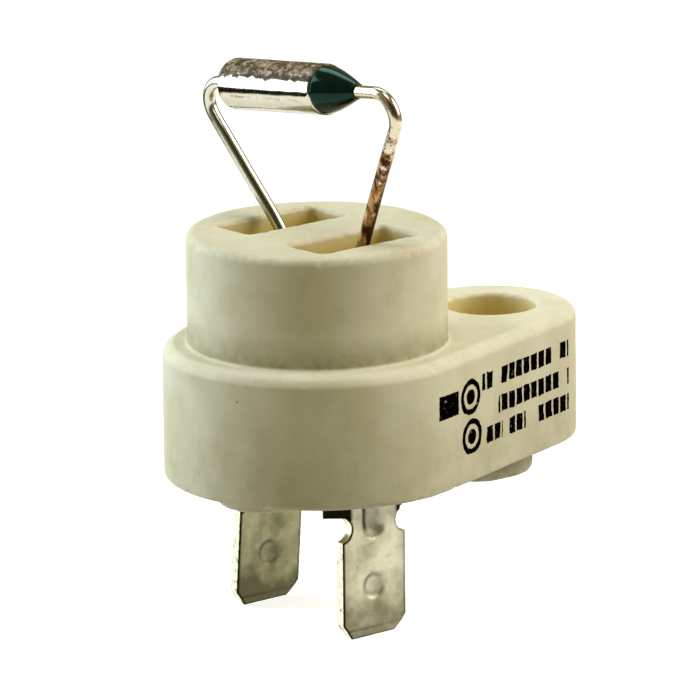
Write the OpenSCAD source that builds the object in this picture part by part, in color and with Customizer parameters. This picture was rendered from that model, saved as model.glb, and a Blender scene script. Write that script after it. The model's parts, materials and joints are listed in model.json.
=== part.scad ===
// Thermal fuse link on a pressed ceramic holder, with two push-on terminals.
// Origin: the collar's axis, in the seat plane that the flange offers to a panel.
// +Z points to the fuse, +X to the screw ear, and the terminals hang below.

/* [Ceramic holder] */
// Radius of the round flange
flange_r = 12.1; // [11.6:0.1:14]
// Height of the flange, from its seat to its underside
flange_h = 10.6; // [9:0.1:14]
// Distance from the collar's axis to the screw's axis
ear_reach = 17.8; // [17:0.1:24]
// Radius of the rounded ear
ear_r = 6.8; // [5.6:0.1:8]
// Rounding of the upper edge of flange and ear
upper_round = 0.8; // [0.4:0.05:1.2]
// Rounding of the lower edge of flange and ear
lower_round = 0.4; // [0.2:0.05:1]
// Radius of the collar that goes through the panel
collar_r = 10.15; // [9.6:0.05:10.4]
// Height of the collar above the seat
collar_h = 8.85; // [7:0.05:12]
// Rounding of the collar's rim
rim_round = 0.65; // [0.2:0.05:1]
// Fillet between collar and seat
base_fillet = 0.2; // [0.1:0.05:0.5]

/* [Pockets] */
// Length of each pocket, across the collar
pocket_l = 9.9; // [8.8:0.1:10.6]
// Width of each pocket
pocket_w = 4.3; // [3.8:0.1:4.6]
// Thickness of the wall between the pockets
web_t = 4.4; // [3.8:0.1:4.8]
// Radius of the pockets' upright corners
pocket_corner = 0.5; // [0.3:0.05:1.2]
// Bevel round each pocket's mouth
mouth_bevel = 0.22; // [0.1:0.02:0.4]
// Ceramic left below each pocket
floor_t = 3; // [2:0.1:4]

/* [Ear and underside] */
// Radius of the round recess in the top of the ear
recess_r = 3.65; // [3:0.05:4.2]
// Depth of that recess
recess_depth = 5; // [2:0.1:6]
// Bevel round its mouth
recess_bevel = 0.2; // [0.1:0.05:0.4]
// Radius of the screw hole
screw_hole_r = 2.1; // [1.6:0.05:2.4]
// Radius of the ends of the oblong locating boss under the ear
boss_r = 3.35; // [3.3:0.05:4.4]
// How far the boss runs from the screw hole towards the collar
boss_run = 1.6; // [0.4:0.1:2.4]
// How far the boss stands below the flange
boss_h = 3.1; // [1.4:0.1:4]
// Rounding of the boss's edge
boss_round = 0.85; // [0.2:0.05:0.9]
// Radius of the ends of the barrier between the terminals
barrier_r = 3.6; // [2.6:0.05:3.8]
// Distance from the collar's axis to the centre of either barrier end
barrier_half = 5.7; // [4:0.1:7]
// How far the barrier stands below the flange
barrier_h = 1.5; // [1:0.05:3]
// Rounding of the barrier's edge
barrier_round = 0.7; // [0.1:0.05:0.9]

/* [Terminals] */
// Thickness of the terminal sheet
sheet_t = 0.8; // [0.6:0.05:0.9]
// Distance of each terminal's middle plane from the collar's axis
terminal_offset = 6.2; // [6.1:0.05:6.8]
// Width of the push-on tab
tab_w = 6.35; // [6:0.05:6.8]
// Length of the tab below its shoulders
tab_l = 8; // [6:0.1:9]
// Depth of the shoulders below the flange
shoulder_depth = 3.9; // [3.8:0.1:5]
// Width of the bevel at either side of the tab's tip
tip_bevel_w = 1; // [0.5:0.05:1.4]
// Length of that bevel
tip_bevel_l = 1.25; // [0.5:0.05:1.6]
// Length of the thinned edge at the tab's tip
coin_l = 0.75; // [0.3:0.05:1]
// How much each face loses at that edge
coin_depth = 0.2; // [0.1:0.02:0.28]
// Radius of the latch dimple's mouth, in either face
dimple_r = 1.17; // [0.8:0.01:1.3]
// Depth of the latch dimple
dimple_depth = 0.25; // [0.1:0.01:0.28]
// Distance of the dimple below the shoulders
dimple_drop = 3.9; // [2.4:0.1:4.4]
// Radius of the round notch at either side of the neck
notch_r = 0.94; // [0.8:0.02:1.3]
// Width of the head that stays flat between its ears
head_flat = 4.4; // [4:0.1:4.6]
// Angle at which the ears are bent back
ear_bend = 40; // [20:1:60]
// Middle radius of that bend
ear_bend_r = 1.4; // [0.8:0.1:1.8]
// Length of each ear past its bend
head_ear_l = 1.4; // [0.8:0.1:2]
// Radius of the stiffening rib that is pressed into the neck
rib_r = 1.55; // [1.2:0.05:1.6]
// Depth of the rib's hollow
rib_depth = 0.6; // [0.3:0.05:0.7]
// Depth of the rib's round end below the flange
rib_end = 2.9; // [2.4:0.1:3]
// Width of the strap that goes up into the pocket
strap_w = 4.4; // [3.6:0.1:4.6]
// Height above the flange's underside at which the strap starts to joggle inwards
joggle_rise = 3.4; // [2.4:0.1:4.4]
// Height over which it joggles
joggle_l = 2; // [1.4:0.1:3]
// Clearance round the strap in its window
window_gap = 0.1; // [0.05:0.01:0.2]
// Angle by which the rear tab is bent outwards
rear_lean = 5; // [0:1:12]

/* [Crimps] */
// Outer radius of the crimp barrel on each terminal
barrel_r = 1.3; // [1.1:0.05:1.4]
// Length of the barrel
barrel_l = 3.4; // [2:0.1:4]
// Depth of the barrel's mouth below the collar's rim
barrel_depth = 6; // [4.5:0.1:7]
// Depth of the seat that the crimp presses for the lead in its strap
crimp_seat = 0.1; // [0.05:0.01:0.2]
// Radial room between a lead and what it passes through
lead_gap = 0.02; // [0.01:0.01:0.05]
// How far each lead stands out below its barrel
lead_tail = 0.8; // [0.3:0.1:1.5]

/* [Fuse] */
// Radius of the fuse's metal case
case_r = 2; // [1.9:0.05:2.2]
// Length of the case
case_l = 11.4; // [11.2:0.1:13]
// Thickness of the case's wall
case_wall = 0.25; // [0.2:0.01:0.3]
// Thickness of the case's closed end
case_end_t = 0.4; // [0.3:0.05:0.5]
// Rounding of the closed end
case_round = 0.5; // [0.2:0.05:0.8]
// How far the open end is rolled inwards over the bushing
lip_in = 0.2; // [0.1:0.02:0.3]
// Height of the closed end's centre above the collar
fuse_rise = 10.6; // [8:0.1:14]
// Distance of the closed end behind the collar's axis
fuse_back = 7.7; // [7:0.1:8.4]
// Offset of the fuse away from the ear
fuse_side = 1.7; // [0:0.1:3]
// Slope of the fuse, rising towards its seal
fuse_slope = 6.6; // [0:0.1:12]
// Depth of the seal inside the case, down to the bushing
seal_depth = 0.65; // [0.5:0.05:0.8]
// Length of the seal's taper outside the case
seal_l = 3.5; // [2.5:0.1:4]
// Radius of the seal where the lead leaves it
seal_tip_r = 0.65; // [0.6:0.05:1]
// Radius of the lead wires
lead_r = 0.5; // [0.4:0.01:0.53]
// Radius of the case lead's upper bend
case_lead_bend = 1.8; // [1.4:0.1:2]
// Distance of that bend's corner behind the collar's axis
case_lead_reach = 12.5; // [12:0.1:14]
// Radius of the sealed lead's upper bend
sealed_lead_bend = 1.9; // [1.4:0.1:2.2]
// Distance of that bend's corner before the collar's axis
sealed_lead_reach = 12.7; // [12.4:0.1:14]
// Depth below the collar's rim at which the case lead turns straight down
case_lead_turn = 1.3; // [1.1:0.05:2]
// Depth below the collar's rim at which the sealed lead turns straight down
sealed_lead_turn = 2.95; // [2.2:0.05:3.2]
// Radius of those turns
lead_turn_r = 3; // [1.5:0.1:4]

/* [Inside the fuse] */
// Length of the thermal pellet
pellet_l = 3; // [2.4:0.1:3.2]
// Thickness of the two spring discs
disc_t = 0.15; // [0.1:0.01:0.2]
// Length of the compression spring, as the pellet holds it
main_spring_l = 2.5; // [2:0.1:2.6]
// Radius of the compression spring's coil
main_coil_r = 1.2; // [1:0.05:1.4]
// Radius of the compression spring's wire
main_wire_r = 0.13; // [0.1:0.01:0.16]
// Turns of the compression spring
main_turns = 5; // [4:1:7]
// Thickness of the star contact
star_t = 0.15; // [0.1:0.01:0.2]
// Height of the star contact's fingers along the case
finger_h = 0.6; // [0.3:0.05:0.8]
// Number of fingers
fingers = 8; // [6:1:12]
// Width of the slots between the fingers
finger_gap = 0.25; // [0.15:0.01:0.35]
// How far those slots reach in from the rim
finger_root = 0.45; // [0.3:0.05:0.6]
// Radius of the trip spring's coil
trip_coil_r = 1.15; // [1.1:0.01:1.2]
// Radius of the trip spring's wire
trip_wire_r = 0.1; // [0.08:0.01:0.12]
// Turns of the trip spring
trip_turns = 4; // [3:1:6]
// Length of the bushing
bushing_l = 2; // [1.6:0.1:2.1]
// Length of the bushing's nose, which guides the trip spring
nose_l = 0.5; // [0.3:0.05:0.8]
// Radial room round the inner pieces
inner_gap = 0.05; // [0.03:0.01:0.08]
// Radius of the contact head on the sealed lead, and of the head staked on the case lead
head_r = 0.75; // [0.65:0.01:0.8]
// Thickness of both heads
head_t = 0.3; // [0.2:0.02:0.34]

/* [Hidden] */
$fn = 96;

ceramic = "#d8d2b8";
tin_plate = "#a9a794";
silver = "#c9c6bd";
spring_steel = "#8c8c8a";
wax = "#e8dcae";
alumina = "#f0eee6";
epoxy = "#12261e";

// How far a boss or a cut runs into or past the body that it joins or opens
overrun = 1;

// Flange and ear: the straight sides touch both circles at this angle
side_angle = asin((flange_r - ear_r) / ear_reach);
side_l = ear_reach * cos(side_angle);
side_normal = [sin(side_angle), cos(side_angle), 0];
side_run = [cos(side_angle), -sin(side_angle), 0];
side_w = ear_r + overrun;
core_half = (flange_r - side_w) / cos(side_angle) + overrun / 10;

// Pockets
pocket_y = (web_t + pocket_w) / 2;
pocket_depth = collar_h + flange_h - floor_t;

// Terminals: the pivot is the narrowest place of the neck
pivot_depth = shoulder_depth - notch_r;
head_h = pivot_depth - notch_r;
blade_l = tab_l + notch_r;
lead_y = pocket_y;
lead_offset = sheet_t / 2 + lead_r - crimp_seat;
lead_hole_r = lead_r + lead_gap;
joggle_in = terminal_offset - lead_y - lead_offset;
joggle_top = joggle_rise + joggle_l;
barrel_top = collar_h - barrel_depth;
strap_l = barrel_top + flange_h;
rib_back = sheet_t / 2 - rib_r + rib_depth;
ear_steps = 4;
ear_step_l = ear_bend_r * ear_bend * PI / 180 / ear_steps;
knuckle_gap = 0.01;

// Windows below the pockets
window_w = strap_w + 2 * window_gap;
window_in = lead_y - barrel_r - window_gap;
window_out = terminal_offset + sheet_t / 2 + window_gap;
window_h = joggle_top + window_gap;

// Fuse: places along its axis, from the closed end towards the seal
case_inner_r = case_r - case_wall;
inner_r = case_inner_r - inner_gap;
pellet_s = case_end_t + head_t;
pellet_disc_s = pellet_s + pellet_l;
main_spring_s = pellet_disc_s + disc_t;
contact_disc_s = main_spring_s + main_spring_l;
star_s = contact_disc_s + disc_t;
contact_s = star_s + star_t;
seal_s = case_l - seal_depth;
bushing_s = seal_s - bushing_l;
trip_spring_l = bushing_s - contact_s;
nose_r = trip_coil_r - trip_wire_r - inner_gap;
fuse_origin = [-fuse_side, fuse_back, collar_h + fuse_rise];
fuse_dir = [0, -cos(fuse_slope), sin(fuse_slope)];

// The seal narrows slowly at first: the power of that curve, and its length on the lead
seal_power = 1.25;
seal_steps = 10;
seal_foot = 0.1;

// Fineness of the springs
coil_steps = 16;
coil_sides = 6;

// Corners of the leads, from the fuse down to the tail below each crimp
lead_end_z = barrel_top - barrel_l - lead_tail;
bend_steps = 8;
wire_sides = 20;
case_lead_path = [
    fuse_point(case_end_t + head_t / 2),
    fuse_point((fuse_back - case_lead_reach) / cos(fuse_slope)),
    [0, lead_y, collar_h - case_lead_turn],
    [0, lead_y, lead_end_z]];
sealed_lead_path = [
    fuse_point(contact_s + head_t / 2),
    fuse_point((fuse_back + sealed_lead_reach) / cos(fuse_slope)),
    [0, -lead_y, collar_h - sealed_lead_turn],
    [0, -lead_y, lead_end_z]];

function fuse_point(s) = fuse_origin + s * fuse_dir;
function unit(v) = v / norm(v);
function frame(x, y, z, p) = [
    [x[0], y[0], z[0], p[0]],
    [x[1], y[1], z[1], p[1]],
    [x[2], y[2], z[2], p[2]],
    [0, 0, 0, 1]];

// Half section of the flange: flat inside, rounded at both edges of its rim
module rim_profile(w) {
    translate([0, lower_round - flange_h]) square([w, flange_h - lower_round - upper_round]);
    translate([0, -flange_h]) square([w - lower_round, flange_h / 2]);
    translate([0, -flange_h / 2]) square([w - upper_round, flange_h / 2]);
    translate([w - upper_round, -upper_round]) circle(upper_round);
    translate([w - lower_round, lower_round - flange_h]) circle(lower_round);
}

// The straight side of the flange, from the round flange to the ear
module flange_side() {
    multmatrix(frame(side_normal, [0, 0, 1], side_run, (flange_r - side_w) * side_normal))
        linear_extrude(side_l) rim_profile(side_w);
}

module flange() {
    rotate_extrude() rim_profile(flange_r);
    translate([ear_reach, 0, 0]) rotate_extrude() rim_profile(ear_r);
    flange_side();
    mirror([0, 1, 0]) flange_side();
    translate([0, -core_half, -flange_h]) cube([ear_reach, 2 * core_half, flange_h]);
}

module collar() {
    rotate_extrude() {
        translate([0, -overrun]) square([collar_r, collar_h - rim_round + overrun]);
        square([collar_r - rim_round, collar_h]);
        translate([collar_r - rim_round, collar_h - rim_round]) circle(rim_round);
        difference() {
            translate([0, -overrun]) square([collar_r + base_fillet, overrun + base_fillet]);
            translate([collar_r + base_fillet, base_fillet]) circle(base_fillet);
        }
    }
}

// Half section of what stands below the flange, rounded at its lower edge
module foot_profile(w, h, round_r) {
    translate([0, round_r - h]) square([w, h - round_r + overrun]);
    translate([0, -h]) square([w - round_r, h]);
    translate([w - round_r, round_r - h]) circle(round_r);
}

// An oblong foot below the flange, from one end's centre to the other's
module foot(x1, x2, w, h, round_r) {
    translate([0, 0, -flange_h]) {
        for (x = [x1, x2]) translate([x, 0, 0]) rotate_extrude() foot_profile(w, h, round_r);
        for (side = [-1, 1]) multmatrix(frame([0, side, 0], [0, 0, 1], [1, 0, 0], [x1, 0, 0]))
            linear_extrude(x2 - x1) foot_profile(w, h, round_r);
    }
}

// The low barrier that keeps the two terminals apart
module barrier() {
    foot(-barrier_half, barrier_half, barrier_r, barrier_h, barrier_round);
}

// The boss that locates the ear, round its screw hole
module boss() {
    foot(ear_reach - boss_run, ear_reach, boss_r, boss_h, boss_round);
}

module pocket_outline() {
    square([pocket_l - 2 * pocket_corner, pocket_w], center = true);
    square([pocket_l, pocket_w - 2 * pocket_corner], center = true);
    pocket_corners() circle(pocket_corner);
}

module pocket_corners() {
    for (x = [-1, 1], y = [-1, 1])
        translate([x * (pocket_l / 2 - pocket_corner), y * (pocket_w / 2 - pocket_corner), 0])
            children();
}

// One run of the bevelled mouth: a trapezium across w, drawn out over a length
module mouth_run(w, l) {
    b = mouth_bevel;
    rotate([90, 0, 0]) linear_extrude(l, center = true)
        polygon([[-w / 2, -b], [w / 2, -b], [w / 2 + 2 * b, b], [-w / 2 - 2 * b, b]]);
}

module pocket() {
    translate([0, 0, -pocket_depth]) linear_extrude(pocket_depth + mouth_bevel) pocket_outline();
    mouth_run(pocket_l, pocket_w - 2 * pocket_corner);
    rotate([0, 0, 90]) mouth_run(pocket_w, pocket_l - 2 * pocket_corner);
    pocket_corners() translate([0, 0, -mouth_bevel])
        cylinder(h = 2 * mouth_bevel, r1 = pocket_corner, r2 = pocket_corner + 2 * mouth_bevel);
}

// The window under a pocket, through which the strap and its open barrel are passed
module window() {
    translate([-window_w / 2, window_in, -flange_h - overrun])
        cube([window_w, window_out - window_in, window_h + overrun]);
}

module ear_hole() {
    translate([ear_reach, 0, -recess_depth]) cylinder(h = recess_depth + overrun, r = recess_r);
    translate([ear_reach, 0, -recess_bevel])
        cylinder(h = 2 * recess_bevel, r1 = recess_r, r2 = recess_r + 2 * recess_bevel);
    translate([ear_reach, 0, -flange_h - boss_h - overrun])
        cylinder(h = flange_h + boss_h + overrun, r = screw_hole_r);
}

module holder_body() {
    color(ceramic) difference() {
        union() {
            flange();
            collar();
            barrier();
            boss();
        }
        for (turn = [0, 180]) rotate([0, 0, turn]) {
            translate([0, pocket_y, collar_h]) pocket();
            window();
        }
        ear_hole();
    }
}

// Lays a front outline on a sheet, with the outline's y along Z
module sheet() {
    rotate([90, 0, 0]) linear_extrude(sheet_t, center = true) children();
}

module notches() {
    for (side = [-1, 1]) translate([side * tab_w / 2, 0]) circle(notch_r);
}

// The tab and the lower half of the notches, hanging from the pivot
module blade_outline() {
    difference() {
        polygon([
            [-tab_w / 2, 0], [tab_w / 2, 0],
            [tab_w / 2, tip_bevel_l - blade_l], [tab_w / 2 - tip_bevel_w, -blade_l],
            [tip_bevel_w - tab_w / 2, -blade_l], [-tab_w / 2, tip_bevel_l - blade_l]]);
        notches();
    }
}

// What the coining takes from one face at the tip
module coin_cut() {
    translate([0, sheet_t / 2, -blade_l]) rotate([90, 0, 90])
        linear_extrude(tab_w, center = true)
            polygon([[-coin_depth, -overrun], [overrun, -overrun], [overrun, coin_l], [0, coin_l],
                     [-coin_depth, 0]]);
}

module dimple() {
    translate([0, sheet_t / 2 - dimple_depth, -notch_r - dimple_drop]) rotate([-90, 0, 0])
        cylinder(h = 2 * dimple_depth, r1 = dimple_r - dimple_depth, r2 = dimple_r + dimple_depth);
}

module blade() {
    difference() {
        sheet() blade_outline();
        for (turn = [0, 180]) rotate([0, 0, turn]) {
            coin_cut();
            dimple();
        }
    }
}

// The upper half of the neck, from the pivot up to the ears
module neck() {
    sheet() difference() {
        translate([-tab_w / 2 + notch_r / 2, 0]) square([tab_w - notch_r, notch_r]);
        notches();
    }
}

// An ear of the head, which bends back in short steps towards the middle of the holder
module ear_step(left) {
    cylinder(h = head_h, r = sheet_t / 2 - knuckle_gap);
    rotate([0, 0, ear_bend / ear_steps]) {
        translate([0, -sheet_t / 2, 0])
            cube([left == 1 ? head_ear_l : ear_step_l, sheet_t, head_h]);
        if (left > 1) translate([ear_step_l, 0, 0]) ear_step(left - 1);
    }
}

module head_ear() {
    translate([head_flat / 2, 0, notch_r]) ear_step(ear_steps);
}

// Round form of the pressed rib, from its rounded foot up into the window
module rib_form() {
    translate([0, 0, pivot_depth - rib_end]) {
        cylinder(h = rib_end + overrun, r = rib_r);
        sphere(rib_r);
    }
}

// The strap that goes up into the pocket, with its joggle: a side profile drawn out over its width
module strap() {
    half = sheet_t / 2;
    miter = half * tan(atan(joggle_in / joggle_l) / 2);
    translate([0, 0, pivot_depth]) rotate([90, 0, 90]) linear_extrude(strap_w, center = true)
        polygon([
            [-half, 0], [half, 0],
            [half, joggle_rise - miter], [joggle_in + half, joggle_top - miter],
            [joggle_in + half, strap_l], [joggle_in - half, strap_l],
            [joggle_in - half, joggle_top + miter], [-half, joggle_rise + miter]]);
}

// The round form of the crimp round the lead, as far as the strap's upper end
module barrel_form(r, spare) {
    translate([0, joggle_in + lead_offset, pivot_depth + strap_l - barrel_l - spare])
        cylinder(h = barrel_l + 2 * spare, r = r);
}

// One terminal, from the pivot of its neck: outer face towards -Y, crimp barrel towards +Y
module terminal(lean) {
    color(tin_plate) difference() {
        union() {
            rotate([-lean, 0, 0]) blade();
            rotate([0, 90, 0])
                cylinder(h = tab_w - 2 * notch_r, r = sheet_t / 2 - knuckle_gap, center = true);
            neck();
            translate([-head_flat / 2, -sheet_t / 2, 0]) cube([head_flat, sheet_t, pivot_depth]);
            head_ear();
            mirror([1, 0, 0]) head_ear();
            intersection() {
                translate([0, rib_back, 0]) rib_form();
                translate([-rib_r, 0, -rib_r]) cube([2 * rib_r, rib_r, 2 * rib_r + pivot_depth]);
            }
            strap();
            barrel_form(barrel_r, 0);
        }
        translate([0, rib_depth - sheet_t / 2 - rib_r, 0]) rib_form();
        barrel_form(lead_hole_r, overrun);
    }
}

module front_terminal() {
    translate([0, -terminal_offset, -flange_h - pivot_depth]) terminal(0);
}

module rear_terminal() {
    translate([0, terminal_offset, -flange_h - pivot_depth]) rotate([0, 0, 180]) terminal(rear_lean);
}

// Places a piece on the fuse's axis, at a distance from the closed end
module on_axis(s) {
    translate(fuse_point(s)) rotate([90 - fuse_slope, 0, 0]) children();
}

module fuse_case() {
    color(silver) on_axis(0) rotate_extrude() difference() {
        union() {
            translate([0, case_round]) square([case_r, case_l - case_round - lip_in]);
            square([case_r - case_round, case_l / 2]);
            translate([case_r - case_round, case_round]) circle(case_round);
            translate([0, case_l / 2]) square([case_r - lip_in, case_l / 2]);
            translate([case_r - lip_in, case_l - lip_in]) circle(lip_in);
        }
        translate([0, case_end_t]) square([case_inner_r, seal_s - case_end_t]);
        translate([0, case_end_t]) square([case_inner_r - lip_in, case_l]);
        translate([0, -overrun]) square([lead_hole_r, case_l]);
    }
}

// Bent wire: the points and directions of its middle line, with a round bend at each corner
function turn_at(path, i) = acos(unit(path[i] - path[i - 1]) * unit(path[i + 1] - path[i]));
function bend_at(path, r, i) =
    let (d = unit(path[i] - path[i - 1]),
         inward = unit(cross(cross(d, path[i + 1] - path[i]), d)),
         start = path[i] - r * tan(turn_at(path, i) / 2) * d)
        [for (k = [0 : bend_steps])
            let (a = turn_at(path, i) * k / bend_steps)
                [start + r * (sin(a) * d + (1 - cos(a)) * inward), cos(a) * d + sin(a) * inward]];
function middle_line(path, bends) = concat(
    [[path[0], unit(path[1] - path[0])]],
    [for (i = [1 : len(path) - 2]) each bend_at(path, bends[i - 1], i)],
    [[path[len(path) - 1], unit(path[len(path) - 1] - path[len(path) - 2])]]);

// The ring of points round one place of a middle line that never runs along X
function ring(place, r, sides) =
    let (v = unit(cross(place[1], [1, 0, 0])), u = cross(v, place[1]))
        [for (j = [0 : sides - 1])
            let (a = j * 360 / sides) place[0] + r * (cos(a) * u + sin(a) * v)];

// A closed tube through rings that have the same number of points
module tube(rings) {
    sides = len(rings[0]);
    last = (len(rings) - 1) * sides;
    walls = [
        for (i = [0 : len(rings) - 2], j = [0 : sides - 1])
            let (k = (j + 1) % sides)
                [i * sides + k, i * sides + j, (i + 1) * sides + j, (i + 1) * sides + k]];
    first_cap = [for (j = [0 : sides - 1]) j];
    last_cap = [for (j = [sides - 1 : -1 : 0]) last + j];
    polyhedron([for (r = rings) each r], concat(walls, [first_cap, last_cap]), convexity = 8);
}

module bent_wire(path, bends) {
    tube([for (place = middle_line(path, bends)) ring(place, lead_r, wire_sides)]);
}

module case_lead() {
    color(silver) {
        bent_wire(case_lead_path, [case_lead_bend, lead_turn_r]);
        on_axis(case_end_t) cylinder(h = head_t, r = head_r);
    }
}

module sealed_lead() {
    color(silver) {
        bent_wire(sealed_lead_path, [sealed_lead_bend, lead_turn_r]);
        on_axis(contact_s) cylinder(h = head_t, r = head_r);
    }
}

module thermal_pellet() {
    color(wax) on_axis(pellet_s) cylinder(h = pellet_l, r = inner_r);
}

module pellet_disc() {
    color(spring_steel) on_axis(pellet_disc_s) cylinder(h = disc_t, r = inner_r);
}

module contact_disc() {
    color(spring_steel) on_axis(contact_disc_s) cylinder(h = disc_t, r = inner_r);
}

// A helical spring that fills a given length
module spring(coil_r, wire_r, l, turns) {
    steps = turns * coil_steps;
    tube([for (i = [0 : steps])
        let (a = i * 360 / coil_steps, z = wire_r + (l - 2 * wire_r) * i / steps)
            [for (j = [0 : coil_sides - 1])
                let (b = -j * 360 / coil_sides, r = coil_r + wire_r * cos(b))
                    [r * cos(a), r * sin(a), z + wire_r * sin(b)]]]);
}

module compression_spring() {
    color(spring_steel) on_axis(main_spring_s)
        spring(main_coil_r, main_wire_r, main_spring_l, main_turns);
}

module trip_spring() {
    color(spring_steel) on_axis(contact_s)
        spring(trip_coil_r, trip_wire_r, trip_spring_l, trip_turns);
}

// The sliding contact: a disc whose slotted rim bears on the inside of the case
module star_contact() {
    color(silver) on_axis(star_s) difference() {
        cylinder(h = star_t + finger_h, r = inner_r);
        translate([0, 0, star_t]) cylinder(h = finger_h + overrun, r = inner_r - star_t);
        for (i = [1 : fingers]) rotate([0, 0, i * 360 / fingers])
            translate([inner_r - finger_root, -finger_gap / 2, -overrun])
                cube([case_r, finger_gap, star_t + finger_h + 2 * overrun]);
    }
}

module bushing() {
    color(alumina) on_axis(bushing_s) difference() {
        union() {
            cylinder(h = bushing_l, r = inner_r);
            translate([0, 0, -nose_l]) cylinder(h = nose_l + overrun, r = nose_r);
        }
        translate([0, 0, -overrun]) cylinder(h = bushing_l + 2 * overrun, r = lead_hole_r);
    }
}

// The seal fills the rolled end of the case and tapers along the lead
module seal() {
    base_r = case_r - lip_in / 2;
    taper = [
        for (i = [0 : seal_steps])
            let (t = i / seal_steps)
                [seal_tip_r + (base_r - seal_tip_r) * (1 - pow(t, seal_power)), case_l + seal_l * t]];
    color(epoxy) on_axis(0) rotate_extrude()
        polygon(concat(
            [[lead_r, seal_s], [case_inner_r - lip_in, seal_s], [case_inner_r - lip_in, case_l]],
            taper, [[lead_r, case_l + seal_l + seal_foot]]));
}

holder_body();
front_terminal();
rear_terminal();
fuse_case();
case_lead();
thermal_pellet();
pellet_disc();
compression_spring();
contact_disc();
star_contact();
trip_spring();
bushing();
sealed_lead();
seal();
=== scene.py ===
# %% [markdown]
# # A thermal fuse link on its ceramic holder
#
# The real object is about 45 mm tall. A thermal fuse in a silver-plated case is held by its two bent leads.
# They go down into the pockets of a pressed ceramic holder, where each is crimped to a push-on terminal.
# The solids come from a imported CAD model, the frame. This script gives them their surfaces, rebuilds the
# pieces that need softer edges or smoother bends, and lights them as in a small product studio.
#
# All sizes below are in millimetres, because the part was measured in them. Blender works in metres, so
# one factor turns each into the other.

import json
import math

import bmesh
import bpy
import numpy as np
from mathutils import Matrix, Vector, noise

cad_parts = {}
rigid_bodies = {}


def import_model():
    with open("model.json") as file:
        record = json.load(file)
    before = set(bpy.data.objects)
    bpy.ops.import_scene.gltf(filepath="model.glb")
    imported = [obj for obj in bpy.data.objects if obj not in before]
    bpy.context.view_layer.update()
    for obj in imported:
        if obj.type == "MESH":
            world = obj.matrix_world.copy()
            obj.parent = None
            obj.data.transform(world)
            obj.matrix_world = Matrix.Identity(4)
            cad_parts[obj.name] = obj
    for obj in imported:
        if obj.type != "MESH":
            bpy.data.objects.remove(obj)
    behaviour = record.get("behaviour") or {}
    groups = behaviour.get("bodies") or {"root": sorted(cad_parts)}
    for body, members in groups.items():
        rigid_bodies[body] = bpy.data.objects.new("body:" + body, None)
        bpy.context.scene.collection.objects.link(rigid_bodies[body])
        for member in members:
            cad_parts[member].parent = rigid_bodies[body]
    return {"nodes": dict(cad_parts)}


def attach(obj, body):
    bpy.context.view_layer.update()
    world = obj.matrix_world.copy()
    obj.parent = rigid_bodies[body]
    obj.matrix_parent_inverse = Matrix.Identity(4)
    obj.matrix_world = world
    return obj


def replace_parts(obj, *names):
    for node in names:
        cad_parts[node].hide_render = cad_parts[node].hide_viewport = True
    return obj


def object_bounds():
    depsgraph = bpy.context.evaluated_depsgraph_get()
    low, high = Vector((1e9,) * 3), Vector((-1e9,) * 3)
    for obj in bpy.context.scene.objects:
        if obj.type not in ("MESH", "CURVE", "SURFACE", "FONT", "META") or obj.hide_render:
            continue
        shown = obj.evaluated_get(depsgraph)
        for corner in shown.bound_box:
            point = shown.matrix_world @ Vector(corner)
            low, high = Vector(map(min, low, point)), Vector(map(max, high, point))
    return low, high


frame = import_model()
cad_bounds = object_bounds()
MM = 0.001

print("CAD nodes:", sorted(frame["nodes"]))

# %% [markdown]
# ## The camera
#
# The photograph was taken from about 60 cm with a long lens, so upright edges stay parallel. The camera
# stands 14 degrees above the object and 40 degrees round from its front. A constraint could aim it, but
# the picture is rolled by half a degree, so the camera is built from three axes: right, up, and the
# direction it looks in. The last step shifts it sideways, so that the middle of the flange's underside
# lands on the same place of the picture as in the photograph.

# %% Place the camera
PICTURE_WIDTH = 700
FOCAL_PIXELS = 8000
SENSOR_WIDTH = 36
CAMERA_DISTANCE = 625
CAMERA_AZIMUTH = math.radians(40)
CAMERA_TILT = math.radians(14.15)
CAMERA_ROLL = math.radians(0.56)
FLANGE_HEIGHT = 10.6
ANCHOR = Vector((0, 0, -FLANGE_HEIGHT))
ANCHOR_PIXEL = (319.05, 471.47)

away = Vector((math.sin(CAMERA_AZIMUTH), math.cos(CAMERA_AZIMUTH), 0))
level_right = Vector((math.cos(CAMERA_AZIMUTH), -math.sin(CAMERA_AZIMUTH), 0))
look = away * math.cos(CAMERA_TILT) - Vector((0, 0, math.sin(CAMERA_TILT)))
level_up = away * math.sin(CAMERA_TILT) + Vector((0, 0, math.cos(CAMERA_TILT)))
camera_right = level_right * math.cos(CAMERA_ROLL) - level_up * math.sin(CAMERA_ROLL)
camera_up = level_right * math.sin(CAMERA_ROLL) + level_up * math.cos(CAMERA_ROLL)

pixels_per_mm = FOCAL_PIXELS / CAMERA_DISTANCE
to_right = (ANCHOR_PIXEL[0] - PICTURE_WIDTH / 2) / pixels_per_mm
to_up = (PICTURE_WIDTH / 2 - ANCHOR_PIXEL[1]) / pixels_per_mm
camera_place = ANCHOR - look * CAMERA_DISTANCE - camera_right * to_right - camera_up * to_up

camera_data = bpy.data.cameras.new("studio_camera")
camera_data.sensor_width = SENSOR_WIDTH
camera_data.lens = FOCAL_PIXELS * SENSOR_WIDTH / PICTURE_WIDTH
camera_data.clip_start = 0.01
camera = bpy.data.objects.new("studio_camera", camera_data)
camera.matrix_world = Matrix.Translation(camera_place * MM) @ Matrix(
    (camera_right, camera_up, -look)
).transposed().to_4x4()
bpy.context.collection.objects.link(camera)
bpy.context.scene.camera = camera

print(f"Camera: {camera_data.lens:.0f} mm lens, {pixels_per_mm:.1f} pixels per mm at the object")

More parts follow.
